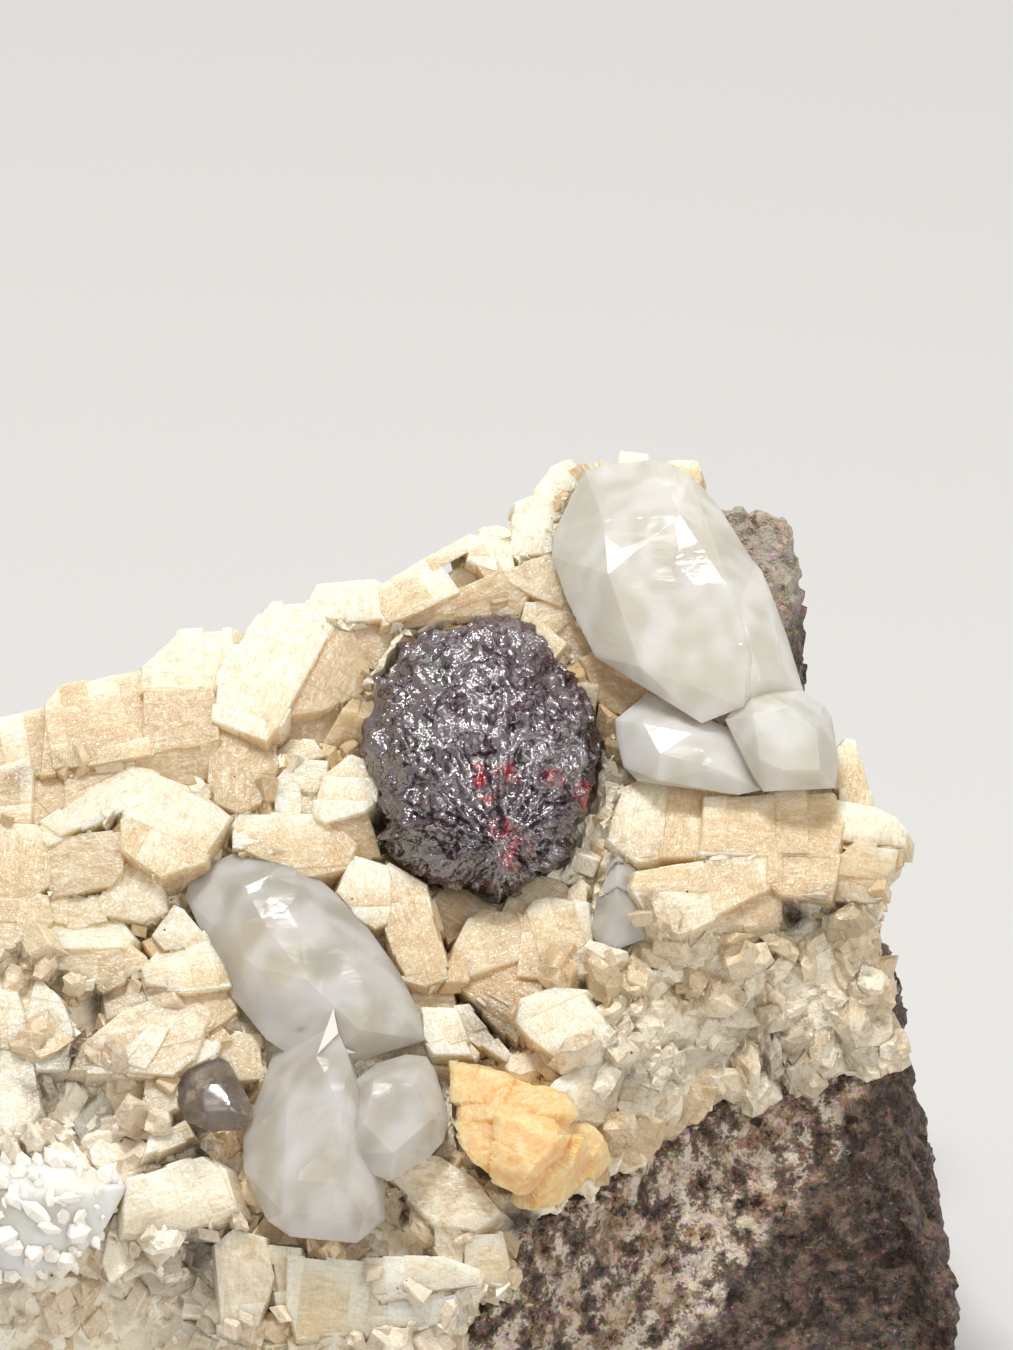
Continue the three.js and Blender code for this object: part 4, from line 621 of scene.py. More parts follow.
# A rhomb's corners and the way that its grain runs, from its row in a table.
def rhombCorners(row):
    across, up, out, long, tall, thick, roll, hand, nod, turn = row
    lean = crystalLook["rhombLean"]
    rise = math.sqrt(1 - lean ** 2)
    pose = Matrix.Rotation(math.radians(turn), 3, "Y")
    pose = pose @ Matrix.Rotation(math.radians(-nod), 3, "X")
    pose = pose @ Matrix.Rotation(math.radians(roll), 3, "Z")
    edges = [Vector((long, 0, 0)), Vector((hand * lean, rise, 0)) * tall,
             Vector((hand * lean, 0.25, -0.94)) * thick]
    middle = Vector((across, up, faceOut(across, up) + out))
    corners = []
    for i in (-0.5, 0.5):
        for j in (-0.5, 0.5):
            for k in (0, 1):
                corners.append(middle + pose @ (edges[0] * i + edges[1] * j + edges[2] * k))
    return corners, pose @ Vector((1, 0, 0))


# The part of a convex form that lies behind a plane, as corners.
def clipped(corners, place, normal):
    heights = [(corner - place).dot(normal) for corner in corners]
    kept = [corner for corner, height in zip(corners, heights) if height <= 0]
    for inner, low in zip(corners, heights):
        for outer, high in zip(corners, heights):
            if low <= 0 < high:
                kept.append(inner.lerp(outer, low / (low - high)))
    return kept


# The hull of some corners. Corners that lie in one plane can upset it, so they may be shaken a little.
def hullOf(corners, shake):
    shape = bmesh.new()
    rng = random.Random(1)
    for corner in corners:
        shape.verts.new(corner + Vector([rng.uniform(-shake, shake) for _ in range(3)]))
    found = bmesh.ops.convex_hull(shape, input=shape.verts)
    spare = [item for item in set(found["geom_interior"] + found["geom_unused"])
             if isinstance(item, bmesh.types.BMVert)]
    bmesh.ops.delete(shape, geom=spare, context="VERTS")
    bmesh.ops.remove_doubles(shape, verts=shape.verts, dist=0.02)
    bmesh.ops.dissolve_limit(shape, angle_limit=0.03, verts=shape.verts, edges=shape.edges)
    return shape


def isSound(shape):
    bmesh.ops.recalc_face_normals(shape, faces=shape.faces)
    if shape.calc_volume(signed=True) < 0:
        bmesh.ops.reverse_faces(shape, faces=shape.faces)
    if len(shape.faces) < 4 or any(len(edge.link_faces) != 2 for edge in shape.edges):
        return False
    for polygon in shape.faces:
        foot = polygon.calc_center_median()
        if max((vertex.co - foot).dot(polygon.normal) for vertex in shape.verts) > 0.06:
            return False
    return True


# A convex body round some corners, with bevelled edges where they come out well.
def convexBody(corners, bevel):
    for shake in (0, 0.01, 0.02, 0.04):
        shape = hullOf(corners, shake)
        if not isSound(shape):
            shape.free()
            continue
        size = shape.calc_volume()
        bevelled = shape.copy()
        bmesh.ops.bevel(bevelled, geom=bevelled.edges[:], offset=bevel, segments=1, affect="EDGES",
                        clamp_overlap=True)
        bmesh.ops.remove_doubles(bevelled, verts=bevelled.verts, dist=0.001)
        if isSound(bevelled) and bevelled.calc_volume() > size * 0.7:
            shape.free()
            return bevelled
        bevelled.free()
        return shape
    return None


# One convex piece as an object of its own for the union, with painted shade: lighter above than below.
def addPiece(collection, corners, grain, tint, green, bevel, shift):
    shape = convexBody(corners, bevel)
    if shape is None:
        return
    uv = shape.loops.layers.uv.new("grain")
    shade = shape.loops.layers.float.new("tint")
    heights = [corner.y for corner in corners]
    low = min(heights)
    tall = max(heights) - low
    for polygon in shape.faces:
        side = grain.cross(polygon.normal)
        if side.length < 0.3:
            side = grain.orthogonal()
        side.normalize()
        flow = polygon.normal.cross(side)
        for loop in polygon.loops:
            loop[uv].uv = (loop.vert.co.dot(flow) + shift, loop.vert.co.dot(side) + shift * 0.7)
            # painted shade: darker towards the foot, lighter towards the top, as light from above would
            # fall
            shadeFall = 0.5 - (loop.vert.co.y - low) / tall
            loop[shade] = min(1, max(0, tint + crystalLook["paintedFootShade"] * shadeFall))
    for vertex in shape.verts:
        vertex.co = faceFrame @ vertex.co * mm
    mesh = bpy.data.meshes.new("piece")
    shape.to_mesh(mesh)
    shape.free()
    mesh.attributes.new("green", "FLOAT", "FACE").data.foreach_set("value", [green] * len(mesh.polygons))
    collection.objects.link(bpy.data.objects.new("piece", mesh))


# A crystal as strips that lie slightly out of line, with low steps on its front.
def addCrystal(collection, corners, grain, tint, green, rng):
    look = crystalLook
    spans = [corner.dot(grain) for corner in corners]
    low = min(spans)
    length = max(spans) - low
    small = min(1, length / 4)
    middle = sum(corners, Vector()) / len(corners)
    front = Vector((0, 0, 1))
    side = front.cross(grain).normalized()
    shift = rng.uniform(0, 50)
    tint = min(1, max(0, tint))

    def place(part, rise, slide, twist, tintShift):
        if len(part) < 4:
            return
        turn = Euler([math.radians(rng.uniform(-twist, twist)) for _ in range(3)]).to_matrix()
        moved = [middle + turn @ (corner - middle) + front * rise + side * slide for corner in part]
        shade = min(1, max(0, tint + tintShift))
        addPiece(collection, moved, grain, shade, green, look["bevel"] * small, shift)

    count = max(1, round(length / look["strip"]))
    cuts = []
    for i in range(count + 1):
        wander = rng.uniform(-look["cutShift"], look["cutShift"]) * (0 < i < count)
        cuts.append(low + length * (i + wander) / count)
    for i in range(count):
        part = corners
        if i > 0:
            part = clipped(part, grain * (cuts[i] - look["cutGap"]), -grain)
        if i < count - 1:
            part = clipped(part, grain * (cuts[i + 1] + look["cutGap"]), grain)
        rise = rng.uniform(-look["step"], look["step"]) * small
        slide = rng.uniform(-look["ragged"], look["ragged"]) * small
        place(part, rise, slide, look["twist"], rng.uniform(-look["tintShift"], look["tintShift"]))
    reach = [corner.dot(side) for corner in corners]
    for _ in range(look["terraces"]):
        way = side * rng.choice((-1, 1)) + grain * rng.uniform(-0.3, 0.3)
        edge = middle + side * rng.uniform(-0.25, 0.25) * (max(reach) - min(reach))
        part = clipped(corners, edge, way)
        if rng.random() < 0.6:
            end = grain * rng.choice((-1, 1))
            part = clipped(part, middle + grain * rng.uniform(-0.3, 0.3) * length, end)
        rise = look["step"] * rng.uniform(0.6, 1.8) * small
        place(part, rise, 0, look["twist"] * 0.5, rng.uniform(-0.1, 0.1))


# The same small rhombs that stand between the large ones in the crust's solid.
def fillRows():
    look = crystalLook
    state = [look["fillSeed"]]

    def draw():
        state[0] = (state[0] * 1664525 + 1013904223) % 4294967296
        return state[0] / 4294967296

    def between(low, high):
        return low + (high - low) * draw()

    rows = []
    for row in range(look["fillRows"]):
        for column in range(look["fillColumns"]):
            across = look["fillStart"] + (column + draw()) * look["fillWidth"] / look["fillColumns"]
            foot = along(fillFootLine, across)
            crest = along(crestLine, across) - 2
            up = foot + (row + draw()) * (crest - foot) / look["fillRows"]
            size = look["fillSize"] * between(0.6, 1.15)
            hand = -1 if draw() < 0.5 else 1
            sides = [size, size * between(0.7, 1), size]
            angles = [between(-45, 45), hand, between(-12, 44), between(-16, 16)]
            rows.append([across, up, between(-0.4, 0.4), *sides, *angles])
    return rows


# Ends a tree in real geometry with its material.
def finishTree(tree, geometry, material):
    real = newNode(tree, "GeometryNodeRealizeInstances", {0: geometry}).outputs[0]
    painted = newNode(tree, "GeometryNodeSetMaterial", {0: real, "Material": material}).outputs[0]
    newNode(tree, "NodeGroupOutput", {0: painted})


# A Geometry Nodes tree with the named inputs and with geometry as its output.
def newTree(name, inputs):
    tree = bpy.data.node_groups.new(name, "GeometryNodeTree")
    for title, kind in inputs:
        tree.interface.new_socket(title, in_out="INPUT", socket_type="NodeSocket" + kind)
    tree.interface.new_socket("Geometry", in_out="OUTPUT", socket_type="NodeSocketGeometry")
    return tree


# A tree that joins every object of a collection into one solid.
def unionTree(material):
    tree = newTree("joinedCrystals", [("Blocks", "Collection")])
    start = newNode(tree, "NodeGroupInput").outputs
    inputs = {"Collection": start["Blocks"], "Separate Children": True}
    blocks = newNode(tree, "GeometryNodeCollectionInfo", inputs).outputs[0]
    join = newNode(tree, "GeometryNodeMeshBoolean", operation="UNION", solver="MANIFOLD")
    feed(join, {"Mesh 2": blocks})
    finishTree(tree, join.outputs[0], material)
    return tree


# Runs a Geometry Nodes tree on an object and keeps the result as a plain mesh.
def grow(name, tree, values, mesh=None):
    start = addObject(name, mesh or bpy.data.meshes.new(name))
    modifier = start.modifiers.new("grow", "NODES")
    modifier.node_group = tree
    for item in tree.interface.items_tree:
        if item.item_type == "SOCKET" and item.in_out == "INPUT" and item.name in values:
            modifier[item.identifier] = values[item.name]
    start.update_tag()
    depsgraph = bpy.context.evaluated_depsgraph_get()
    result = bpy.data.meshes.new_from_object(start.evaluated_get(depsgraph), depsgraph=depsgraph)
    start.modifiers.clear()
    start.data = result
    result.name = name
    return start


# Which places of the straight view lie inside the front of a form.
def inside(across, up, corners):
    crossings = np.zeros(np.shape(across), int)
    for i, (x, y, _) in enumerate(corners):
        x0, y0, _ = corners[i - 1]
        if y != y0:
            crosses = ((y > up) != (y0 > up)) & (across < x + (up - y) * (x0 - x) / (y0 - y))
            crossings += crosses
    return crossings % 2 == 1


# Where each point of a mesh is in the straight view, across and up.
def viewPlaces(mesh):
    places = np.empty(len(mesh.vertices) * 3)
    mesh.vertices.foreach_get("co", places)
    inFace = places.reshape(-1, 3) @ np.array(faceFrame) / mm
    middle = stageLook["target"]
    nearer = 1 - (inFace[:, 2] - middle[2]) / stageLook["distance"]
    return [middle[axis] + (inFace[:, axis] - middle[axis]) / nearer for axis in (0, 1)]


# Which places of the straight view the large crystals cover.
def covered(across, up):
    under = np.zeros(len(across), bool)
    for _, _, _, corners in largeForms:
        under |= inside(across, up, corners)
    return under


def dolomiteCrystals():
    rng = random.Random(crystalLook["seed"])
    pieces = bpy.data.collections.new("crystalPieces")
    for tint, green, depth, corners in largeForms:
        addCrystal(pieces, *formCorners(depth, corners), tint, green, rng)
    for row in leftRhombs:
        addCrystal(pieces, *rhombCorners(row), rng.uniform(0, 0.6), 0, rng)
    for row in fillRows():
        if not covered(np.array([row[0]]), np.array([row[1]]))[0]:
            addCrystal(pieces, *rhombCorners(row), rng.uniform(0.2, 0.8), rng.uniform(0, 0.5), rng)
    material = dolomiteMaterial("dolomiteCrystal", True)
    count = len(pieces.objects)
    crystals = grow("dolomiteCrystals", unionTree(material), {"Blocks": pieces})
    for piece in list(pieces.objects):
        bpy.data.meshes.remove(piece.data)
    bpy.data.collections.remove(pieces)
    markCrust(crystals.data)
    print("dolomite crystals:", count, "pieces,", len(crystals.data.polygons), "faces")
    return crystals


# The ground between the crystals. Lengths are in mm, also in the looks below.
groundLook = {
    "voxel": 0.37,
    "bump": 0.7,           # height of its waves
    "noise": 1.2,          # length of its waves
    "cell": 1.7,           # size of the small flat places that it breaks into
    "tilt": 0.45,          # slope of those places
    "sink": 0.2,
    "underForms": (0, -0.9, -1.5),  # how far it goes back behind the large crystals
}


# A welded copy of the mesh that a node of the frame has.
def nodeCopy(node, name):
    mesh = frame["nodes"][node].data.copy()
    mesh.name = name
    mesh.materials.clear()
    shape = bmesh.new()
    shape.from_mesh(mesh)
    bmesh.ops.remove_doubles(shape, verts=shape.verts, dist=1e-6)
    shape.to_mesh(mesh)
    shape.free()
    return mesh


# Moves a surface along its normal by waves and by small flat places, in metres.
def roughTree(material):
    inputs = [("Geometry", "Geometry")]
    inputs += [(name, "Float") for name in ("Bump", "Cell size", "Sink", "Noise size", "Tilt")]
    tree = newTree("roughSurface", inputs)
    start = newNode(tree, "NodeGroupInput").outputs
    position = newNode(tree, "GeometryNodeInputPosition").outputs[0]
    waves = noiseNode(tree, position, mathNode(tree, "DIVIDE", 1, start["Noise size"]), 4, 0.6)
    cells = {"Vector": position, "Scale": mathNode(tree, "DIVIDE", 1, start["Cell size"])}
    cells = newNode(tree, "ShaderNodeTexVoronoi", cells).outputs
    away = vectorNode(tree, "SUBTRACT", position, cells["Position"])
    lean = vectorNode(tree, "SUBTRACT", cells["Color"], (0.5,) * 3)
    slope = vectorNode(tree, "DOT_PRODUCT", away, lean, output="Value")
    planes = mathNode(tree, "MULTIPLY", slope, mathNode(tree, "MULTIPLY", start["Tilt"], 2))
    height = mathNode(tree, "MULTIPLY", mathNode(tree, "SUBTRACT", waves, 0.5), start["Bump"])
    height = mathNode(tree, "SUBTRACT", mathNode(tree, "ADD", height, planes), start["Sink"])
    normal = newNode(tree, "GeometryNodeInputNormal").outputs[0]
    shift = {"Geometry": start["Geometry"], "Offset": vectorNode(tree, "SCALE", normal, height, "Scale")}
    finishTree(tree, newNode(tree, "GeometryNodeSetPosition", shift).outputs[0], material)
    return tree


# A mesh with waves and small flat places, as its look says.
def roughened(name, material, look, mesh):
    values = {"Tilt": look["tilt"]}
    for title, key in (("Bump", "bump"), ("Sink", "sink"), ("Cell size", "cell"), ("Noise size", "noise")):
        values[title] = look[key] * mm
    return grow(name, roughTree(material), values, mesh)


# The same solid as an even net of small faces.
def remeshed(mesh, voxel):
    thing = addObject("remesh", mesh)
    modifier = thing.modifiers.new("remesh", "REMESH")
    modifier.mode = "VOXEL"
    modifier.voxel_size = voxel * mm
    depsgraph = bpy.context.evaluated_depsgraph_get()
    result = bpy.data.meshes.new_from_object(thing.evaluated_get(depsgraph), depsgraph=depsgraph)
    bpy.data.objects.remove(thing)
    return result


# Nothing of the specimen goes under the floor that it stands on.
def flatBase(mesh):
    for vertex in mesh.vertices:
        vertex.co.z = max(vertex.co.z, 0)


def crustGround():
    look = groundLook
    mesh = remeshed(nodeCopy("dolomite_crust", "crustGround"), look["voxel"])
    places = np.empty(len(mesh.vertices) * 3)
    mesh.vertices.foreach_get("co", places)
    under = covered(*viewPlaces(mesh))[:, None] * np.array(faceFrame @ Vector(look["underForms"]))
    mesh.vertices.foreach_set("co", places + under.ravel() * mm)
    ground = roughened("crustGround", dolomiteMaterial("dolomiteGround", False, 0.25, 1.5), look, mesh)
    flatBase(ground.data)
    markCrust(ground.data)
    print("crust ground:", len(ground.data.polygons), "faces")
    return ground


grainLook = {
    "sink": 0.25,            # share of a grain's size that its middle lies under the ground
    "seed": 5,
    # grains on a square mm, smallest and largest in mm, mm across a group that lies alike
    "rhombs": [1.1, 0.4, 1.6, 2.6],
    "lumps": [0.5, 1, 3.4, 2.4],
    "ground": 0.1,          # how close rhombs stand where nothing else is said
    # [across, up, reach, closeness] in mm
    "rhombSpots": [
        [-20, 12, 12, 0.5], [-30, 16, 12, 1], [-8, 8, 10, 0.6], [2, 8, 9, 0.6], [-14, 24, 8, 0.5],
        [-2, 36, 5, 0.8],
    ],
    "lumpSpots": [
        [27, 21, 9, 1], [17, 21, 8, 1], [-18, 14, 9, 0.8], [-6, 9, 9, 0.6], [-20, 22, 6, 0.7],
        [3, 9, 8, 0.5],
    ],
}


# Copies of a shape on a surface, more of them where its "closeness" attribute is high.
def scatterTree(name, material):
    sizes = ("Density", "Smallest", "Largest", "Sink", "Clusters", "Upright")
    inputs = [("Geometry", "Geometry"), ("Shape", "Object"), ("Seed", "Int")]
    tree = newTree(name, inputs + [(title, "Float") for title in sizes])
    start = newNode(tree, "NodeGroupInput").outputs

    def randomNode(kind, low, high, extra):
        first = 0 if kind == "FLOAT_VECTOR" else 2
        node = newNode(tree, "FunctionNodeRandomValue", data_type=kind)
        feed(node, {first: low, first + 1: high, "Seed": mathNode(tree, "ADD", start["Seed"], extra)})
        return node.outputs[0 if kind == "FLOAT_VECTOR" else 1]

    closeness = newNode(tree, "GeometryNodeInputNamedAttribute", {"Name": "closeness"}, data_type="FLOAT")
    density = mathNode(tree, "MULTIPLY", closeness.outputs[0], start["Density"])
    inputs = {"Mesh": start["Geometry"], "Density": density, "Seed": start["Seed"]}
    points = newNode(tree, "GeometryNodeDistributePointsOnFaces", inputs).outputs
    size = randomNode("FLOAT", start["Smallest"], start["Largest"], 1)
    sides = vectorNode(tree, "SCALE", randomNode("FLOAT_VECTOR", (0.6,) * 3, (1.4,) * 3, 2), size, "Scale")
    position = newNode(tree, "GeometryNodeInputPosition").outputs[0]
    groups = cellNode(tree, position, start["Clusters"], "Color")
    turn = vectorNode(tree, "SCALE", groups, 6.283, "Scale")
    turn = vectorNode(tree, "ADD", turn, randomNode("FLOAT_VECTOR", (-0.3,) * 3, (0.3,) * 3, 3))
    lean = randomNode("FLOAT_VECTOR", (-0.6,) * 3, (0.6,) * 3, 5)
    lean = vectorNode(tree, "ADD", points["Normal"], lean)
    inputs = {"Rotation": turn, "Factor": start["Upright"], "Vector": lean}
    turn = newNode(tree, "FunctionNodeAlignRotationToVector", inputs).outputs[0]
    depth = mathNode(tree, "MULTIPLY", mathNode(tree, "MULTIPLY", size, start["Sink"]), -1)
    shift = vectorNode(tree, "SCALE", points["Normal"], depth, "Scale")
    inputs = {"Geometry": points["Points"], "Offset": shift}
    moved = newNode(tree, "GeometryNodeSetPosition", inputs).outputs[0]
    shape = newNode(tree, "GeometryNodeObjectInfo", {"Object": start["Shape"]}).outputs["Geometry"]
    inputs = {"Points": moved, "Instance": shape, "Rotation": turn, "Scale": sides}
    placed = newNode(tree, "GeometryNodeInstanceOnPoints", inputs).outputs[0]
    keep = newNode(tree, "GeometryNodeStoreNamedAttribute", data_type="FLOAT", domain="INSTANCE")
    feed(keep, {"Name": "tint", "Geometry": placed, "Value": randomNode("FLOAT", 0.0, 0.8, 4)})
    finishTree(tree, keep.outputs[0], material)
    return tree


# A convex shape round some corners, with its edges bevelled.
def newShape(name, corners, bevel=0):
    mesh = bpy.data.meshes.new(name)
    shape = addObject(name, mesh)
    block = bmesh.new()
    for corner in corners:
        block.verts.new(corner)
    bmesh.ops.convex_hull(block, input=block.verts)
    bmesh.ops.dissolve_limit(block, angle_limit=0.01, verts=block.verts, edges=block.edges)
    if bevel:
        bmesh.ops.bevel(block, geom=block.edges[:], offset=bevel, segments=1, affect="EDGES")
    bmesh.ops.recalc_face_normals(block, faces=block.faces)
    block.to_mesh(mesh)
    block.free()
    return shape


# One rhomb of size 1 about its middle.
def grainShape():
    sides = Vector((1, 0, 0)), Vector((0.26, 0.96, 0)), Vector((0.2, 0.22, 0.95))
    ends = (-0.5, 0.5)
    corners = [sides[0] * i + sides[1] * j + sides[2] * k for i in ends for j in ends for k in ends]
    return newShape("grain", corners, 0.06)


# One lump of size 1, a ball pressed flat here and there.
def lumpShape():
    lump = newShape("lump", [(0, 0, 0), (1, 0, 0), (0, 1, 0), (0, 0, 1)])
    ball = bmesh.new()
    bmesh.ops.create_icosphere(ball, subdivisions=2, radius=0.5)
    for vertex in ball.verts:
        nearest, second = noise.voronoi(vertex.co * 3)[0][:2]
        vertex.co *= 0.8 + (second - nearest) * 0.5 + 0.5 * noise.noise(vertex.co * 4)
        vertex.co.z *= 0.7
    ball.to_mesh(lump.data)
    ball.free()
    return lump


# One six-sided quartz point, 1 wide and standing on its foot.
def pointShape():
    ring = [(math.cos(i * math.pi / 3) * 0.5, math.sin(i * math.pi / 3) * 0.5) for i in range(6)]
    corners = [(x, y, -0.4) for x, y in ring] + [(x, y, 0.6) for x, y in ring] + [(0.06, 0.04, 1.25)]
    return newShape("quartzPoint", corners)


# How close grains stand at each point of a mesh. None stand under the large crystals.
def markCloseness(mesh, spots, ground):
    across, up = viewPlaces(mesh)
    share = np.full(len(across), ground)
    for x, y, reach, most in spots:
        away = np.hypot(across - x, up - y) / reach
        share = np.maximum(share, most * np.clip(2 - away * 2, 0, 1))
    share[covered(across, up)] = 0
    mesh.attributes.new("closeness", "FLOAT", "POINT").data.foreach_set("value", share)


# Many copies of a shape on a surface, as one mesh.
def scattered(name, material, surface, shape, look, upright):
    density, smallest, largest, cluster = look
    values = {"Shape": shape, "Density": density / mm ** 2, "Smallest": smallest * mm, "Upright": upright,
              "Largest": largest * mm, "Sink": grainLook["sink"], "Seed": grainLook["seed"],
              "Clusters": 1 / (cluster * mm)}
    grains = grow(name, scatterTree(name, material), values, surface)
    bpy.data.meshes.remove(shape.data)
    print(name + ":", len(grains.data.polygons), "faces")
    return grains


# Grains of one kind on the crust, "rhomb" or "lump". "elsewhere" is how close they stand off the spots.
def crustGrains(ground, name, kind, shape, material, elsewhere):
    look = grainLook
    surface = ground.data.copy()
    markCloseness(surface, look[kind + "Spots"], elsewhere)
    grains = scattered(name, material, surface, shape, look[kind + "s"], 0.0)
    markCrust(grains.data)
    return grains


def dolomiteGrains(ground):
    material = dolomiteMaterial("dolomiteGrain", False)
    return crustGrains(ground, "dolomiteGrains", "rhomb", grainShape(), material, grainLook["ground"])


def dolomiteLumps(ground):
    material = dolomiteMaterial("dolomiteLump", False, 0.25, 0.8)
    return crustGrains(ground, "dolomiteLumps", "lump", lumpShape(), material, 0)


rockLook = {
    "voxel": 0.42,
    "bump": 0.75,
    "noise": 1.3,
    "cell": 1.7,
    "tilt": 0.3,
    "sink": 0.15,
    "dark": (70, 56, 50),
    "brown": (124, 102, 88),
    "grain": (240, 224, 206),
    "ochre": (200, 164, 130),
    "slant": (0.81, -0.2, -0.555),  # the way across the line where the mottled part ends
    "edge": 15.4,           # how far along that way the line is
    "horn": 43,             # height above which the rock is paler
}


def rockMaterial():
    material, shader = newMaterial("darkRock")
    tree = material.node_tree
    look = rockLook
    place = placeNode(tree)
    parts = newNode(tree, "ShaderNodeSeparateXYZ", {0: place}).outputs
    slant = vectorNode(tree, "DOT_PRODUCT", place, look["slant"], output="Value")
    wander = mathNode(tree, "MULTIPLY", noiseNode(tree, place, 0.3, 4), 5)
    slant = mathNode(tree, "ADD", slant, wander)
    front = rangeNode(tree, parts["Y"], -8, -5, 1, 0)
    share = rangeNode(tree, slant, look["edge"] + 1.6, look["edge"] + 2.4, 1, 0)
    share = mathNode(tree, "MULTIPLY", share, front)
    fine = noiseNode(tree, place, 3.2, 3, 0.75)
    stains = noiseNode(tree, place, 0.8, 3, 0.75)
    dark = stainNode(tree, tone(*look["dark"]), stains, 0.4, 0.62, 1, look["brown"])
    patches = noiseNode(tree, place, 0.62, 4, 0.76)
    pale = stainNode(tree, tone(*look["brown"]), patches, 0.47, 0.58, 1, look["grain"])
    pale = stainNode(tree, pale, noiseNode(tree, place, 0.4, 3), 0.5, 0.62, 0.5, look["ochre"])
    pale = stainNode(tree, pale, patches, 0.45, 0.38, 1, look["dark"])
    colour = mixNode(tree, share, dark, pale)
    horn = look["horn"]
    colour = stainNode(tree, colour, parts["Z"], horn - 3, horn + 1, 0.6, look["grain"])
    cells = cellNode(tree, place, 3, "Color")
    colour = mixNode(tree, 0.25, colour, cells, "SOFT_LIGHT")
    colour = stainNode(tree, colour, fine, 0.62, 0.74, 0.5, look["grain"])
    glints = cellNode(tree, place, 2.6, "Color")
    glints = newNode(tree, "ShaderNodeSeparateColor", {0: glints}).outputs[0]
    facets = facetNode(tree, place, 2.6, 0.55)
    bump = bumpNode(tree, mathNode(tree, "ADD", patches, fine), 0.5, 0.8, facets)
    rough = rangeNode(tree, glints, 0.82, 0.9, 0.6, 0.15)
    feed(shader, {"Base Color": colour, "Roughness": rough, "Normal": bump})
    return material


def darkRock():
    look = rockLook
    mesh = remeshed(nodeCopy("matrix_rock", "darkRock"), look["voxel"])
    rock = roughened("darkRock", rockMaterial(), look, mesh)
    flatBase(rock.data)
    print("dark rock:", len(rock.data.polygons), "faces")
    return rock


cinnabarLook = {
    "voxel": 0.12,
    "foldCentre": [9.3, 32.6],  # the low point that the folds run to, in the straight view
    "fold": 0.5,            # mm
    "crinkle": 0.3,
    "dimple": 0.26,
    "roughness": 0.15,
    "ground": (70, 44, 62),
    # painted shade: the near black put in the low places between the crinkles
    "pitShade": (9, 4, 7),
    "red": (176, 2, 22),
    # [across, up, reach] of the red places in the straight view, in mm
    "redSpots": [
        [7.8, 37.5, 0.4], [7.9, 36.5, 0.45], [8.3, 35.6, 0.45], [9.3, 37, 0.7], [9.2, 33.5, 0.8],
        [10, 32.6, 0.8], [9.6, 31.9, 0.6], [12.3, 36.8, 0.6], [14, 36, 0.6], [14.3, 35.1, 0.5],
    ],
}


def cinnabarMaterial():
    material, shader = newMaterial("cinnabarMetal")
    tree = material.node_tree
    look = cinnabarLook
    place = placeNode(tree)
    red = mathNode(tree, "MULTIPLY", attributeNode(tree, "red"),
                   rangeNode(tree, noiseNode(tree, place, 1.6, 4, 0.7), 0.42, 0.56))
    # painted shade: the low places between crinkles are painted near black
    pitShade = attributeNode(tree, "pitShade")
    colour = mixNode(tree, pitShade, tone(*look["ground"]), tone(*look["pitShade"]))
    colour = mixNode(tree, red, colour, tone(*look["red"]))
    fine = noiseNode(tree, place, 2.4, 3, 0.6)
    feed(shader, {
        "Base Color": colour,
        "Roughness": rangeNode(tree, fine, 0.35, 0.65, look["roughness"] - 0.07, look["roughness"] + 0.1),
        "Normal": bumpNode(tree, fine, 0.3, 0.6, facetNode(tree, place, 0.85, 0.45)),
        "IOR": 3.3,
    })
    return material


# Folds that run to one low point, crossed by crinkles and small dimples, with painted shade in their low
# places.
def cinnabarCrystal():
    look = cinnabarLook
    mesh = remeshed(nodeCopy("cinnabar_crystal", "cinnabarCrystal"), look["voxel"])
    toFrame = faceFrame.transposed() * (1 / mm)
    normals = [vertex.normal.copy() for vertex in mesh.vertices]
    pitShades = []
    for vertex, normal in zip(mesh.vertices, normals):
        place = toFrame @ vertex.co
        dx = place.x - look["foldCentre"][0]
        dy = place.y - look["foldCentre"][1]
        angle = math.atan2(dy, dx)
        reach = math.hypot(dx, dy)
        ray = Vector((math.cos(angle) * 4.5, math.sin(angle) * 4.5, reach * 0.25))
        folds = noise.ridged_multi_fractal(ray, 0.9, 2, 3, 1, 2, noise_basis="PERLIN_NEW") - 1
        streak = Vector((math.cos(angle) * 8, math.sin(angle) * 8, reach * 0.9))
        crinkles = noise.fractal(streak, 0.8, 2, 3, noise_basis="PERLIN_NEW")
        crinkles = (crinkles + noise.fractal(place * 0.65, 0.8, 2, 3, noise_basis="PERLIN_NEW")) * 0.6
        dimples = noise.fractal(place * 1.2, 0.7, 2, 3, noise_basis="PERLIN_NEW")
        height = folds * look["fold"] + crinkles * look["crinkle"] + dimples * look["dimple"]
        # painted shade: the lower a place lies among the crinkles, the darker it is painted
        pitShades.append(min(1, max(0, 0.05 - height) * 1.8))
        vertex.co += normal * (height - 0.2) * mm
    mesh.attributes.new("pitShade", "FLOAT", "POINT").data.foreach_set("value", pitShades)
    across, up = viewPlaces(mesh)
    red = np.zeros(len(across))
    for x, y, reach in look["redSpots"]:
        red = np.maximum(red, np.clip(1.8 - np.hypot(across - x, up - y) / reach * 1.3, 0, 1))
    mesh.attributes.new("red", "FLOAT", "POINT").data.foreach_set("value", red)
    mesh.materials.append(cinnabarMaterial())
    mesh.shade_smooth()
    crystal = addObject("cinnabarCrystal", mesh)
    print("cinnabar:", len(mesh.polygons), "faces")
    return crystal


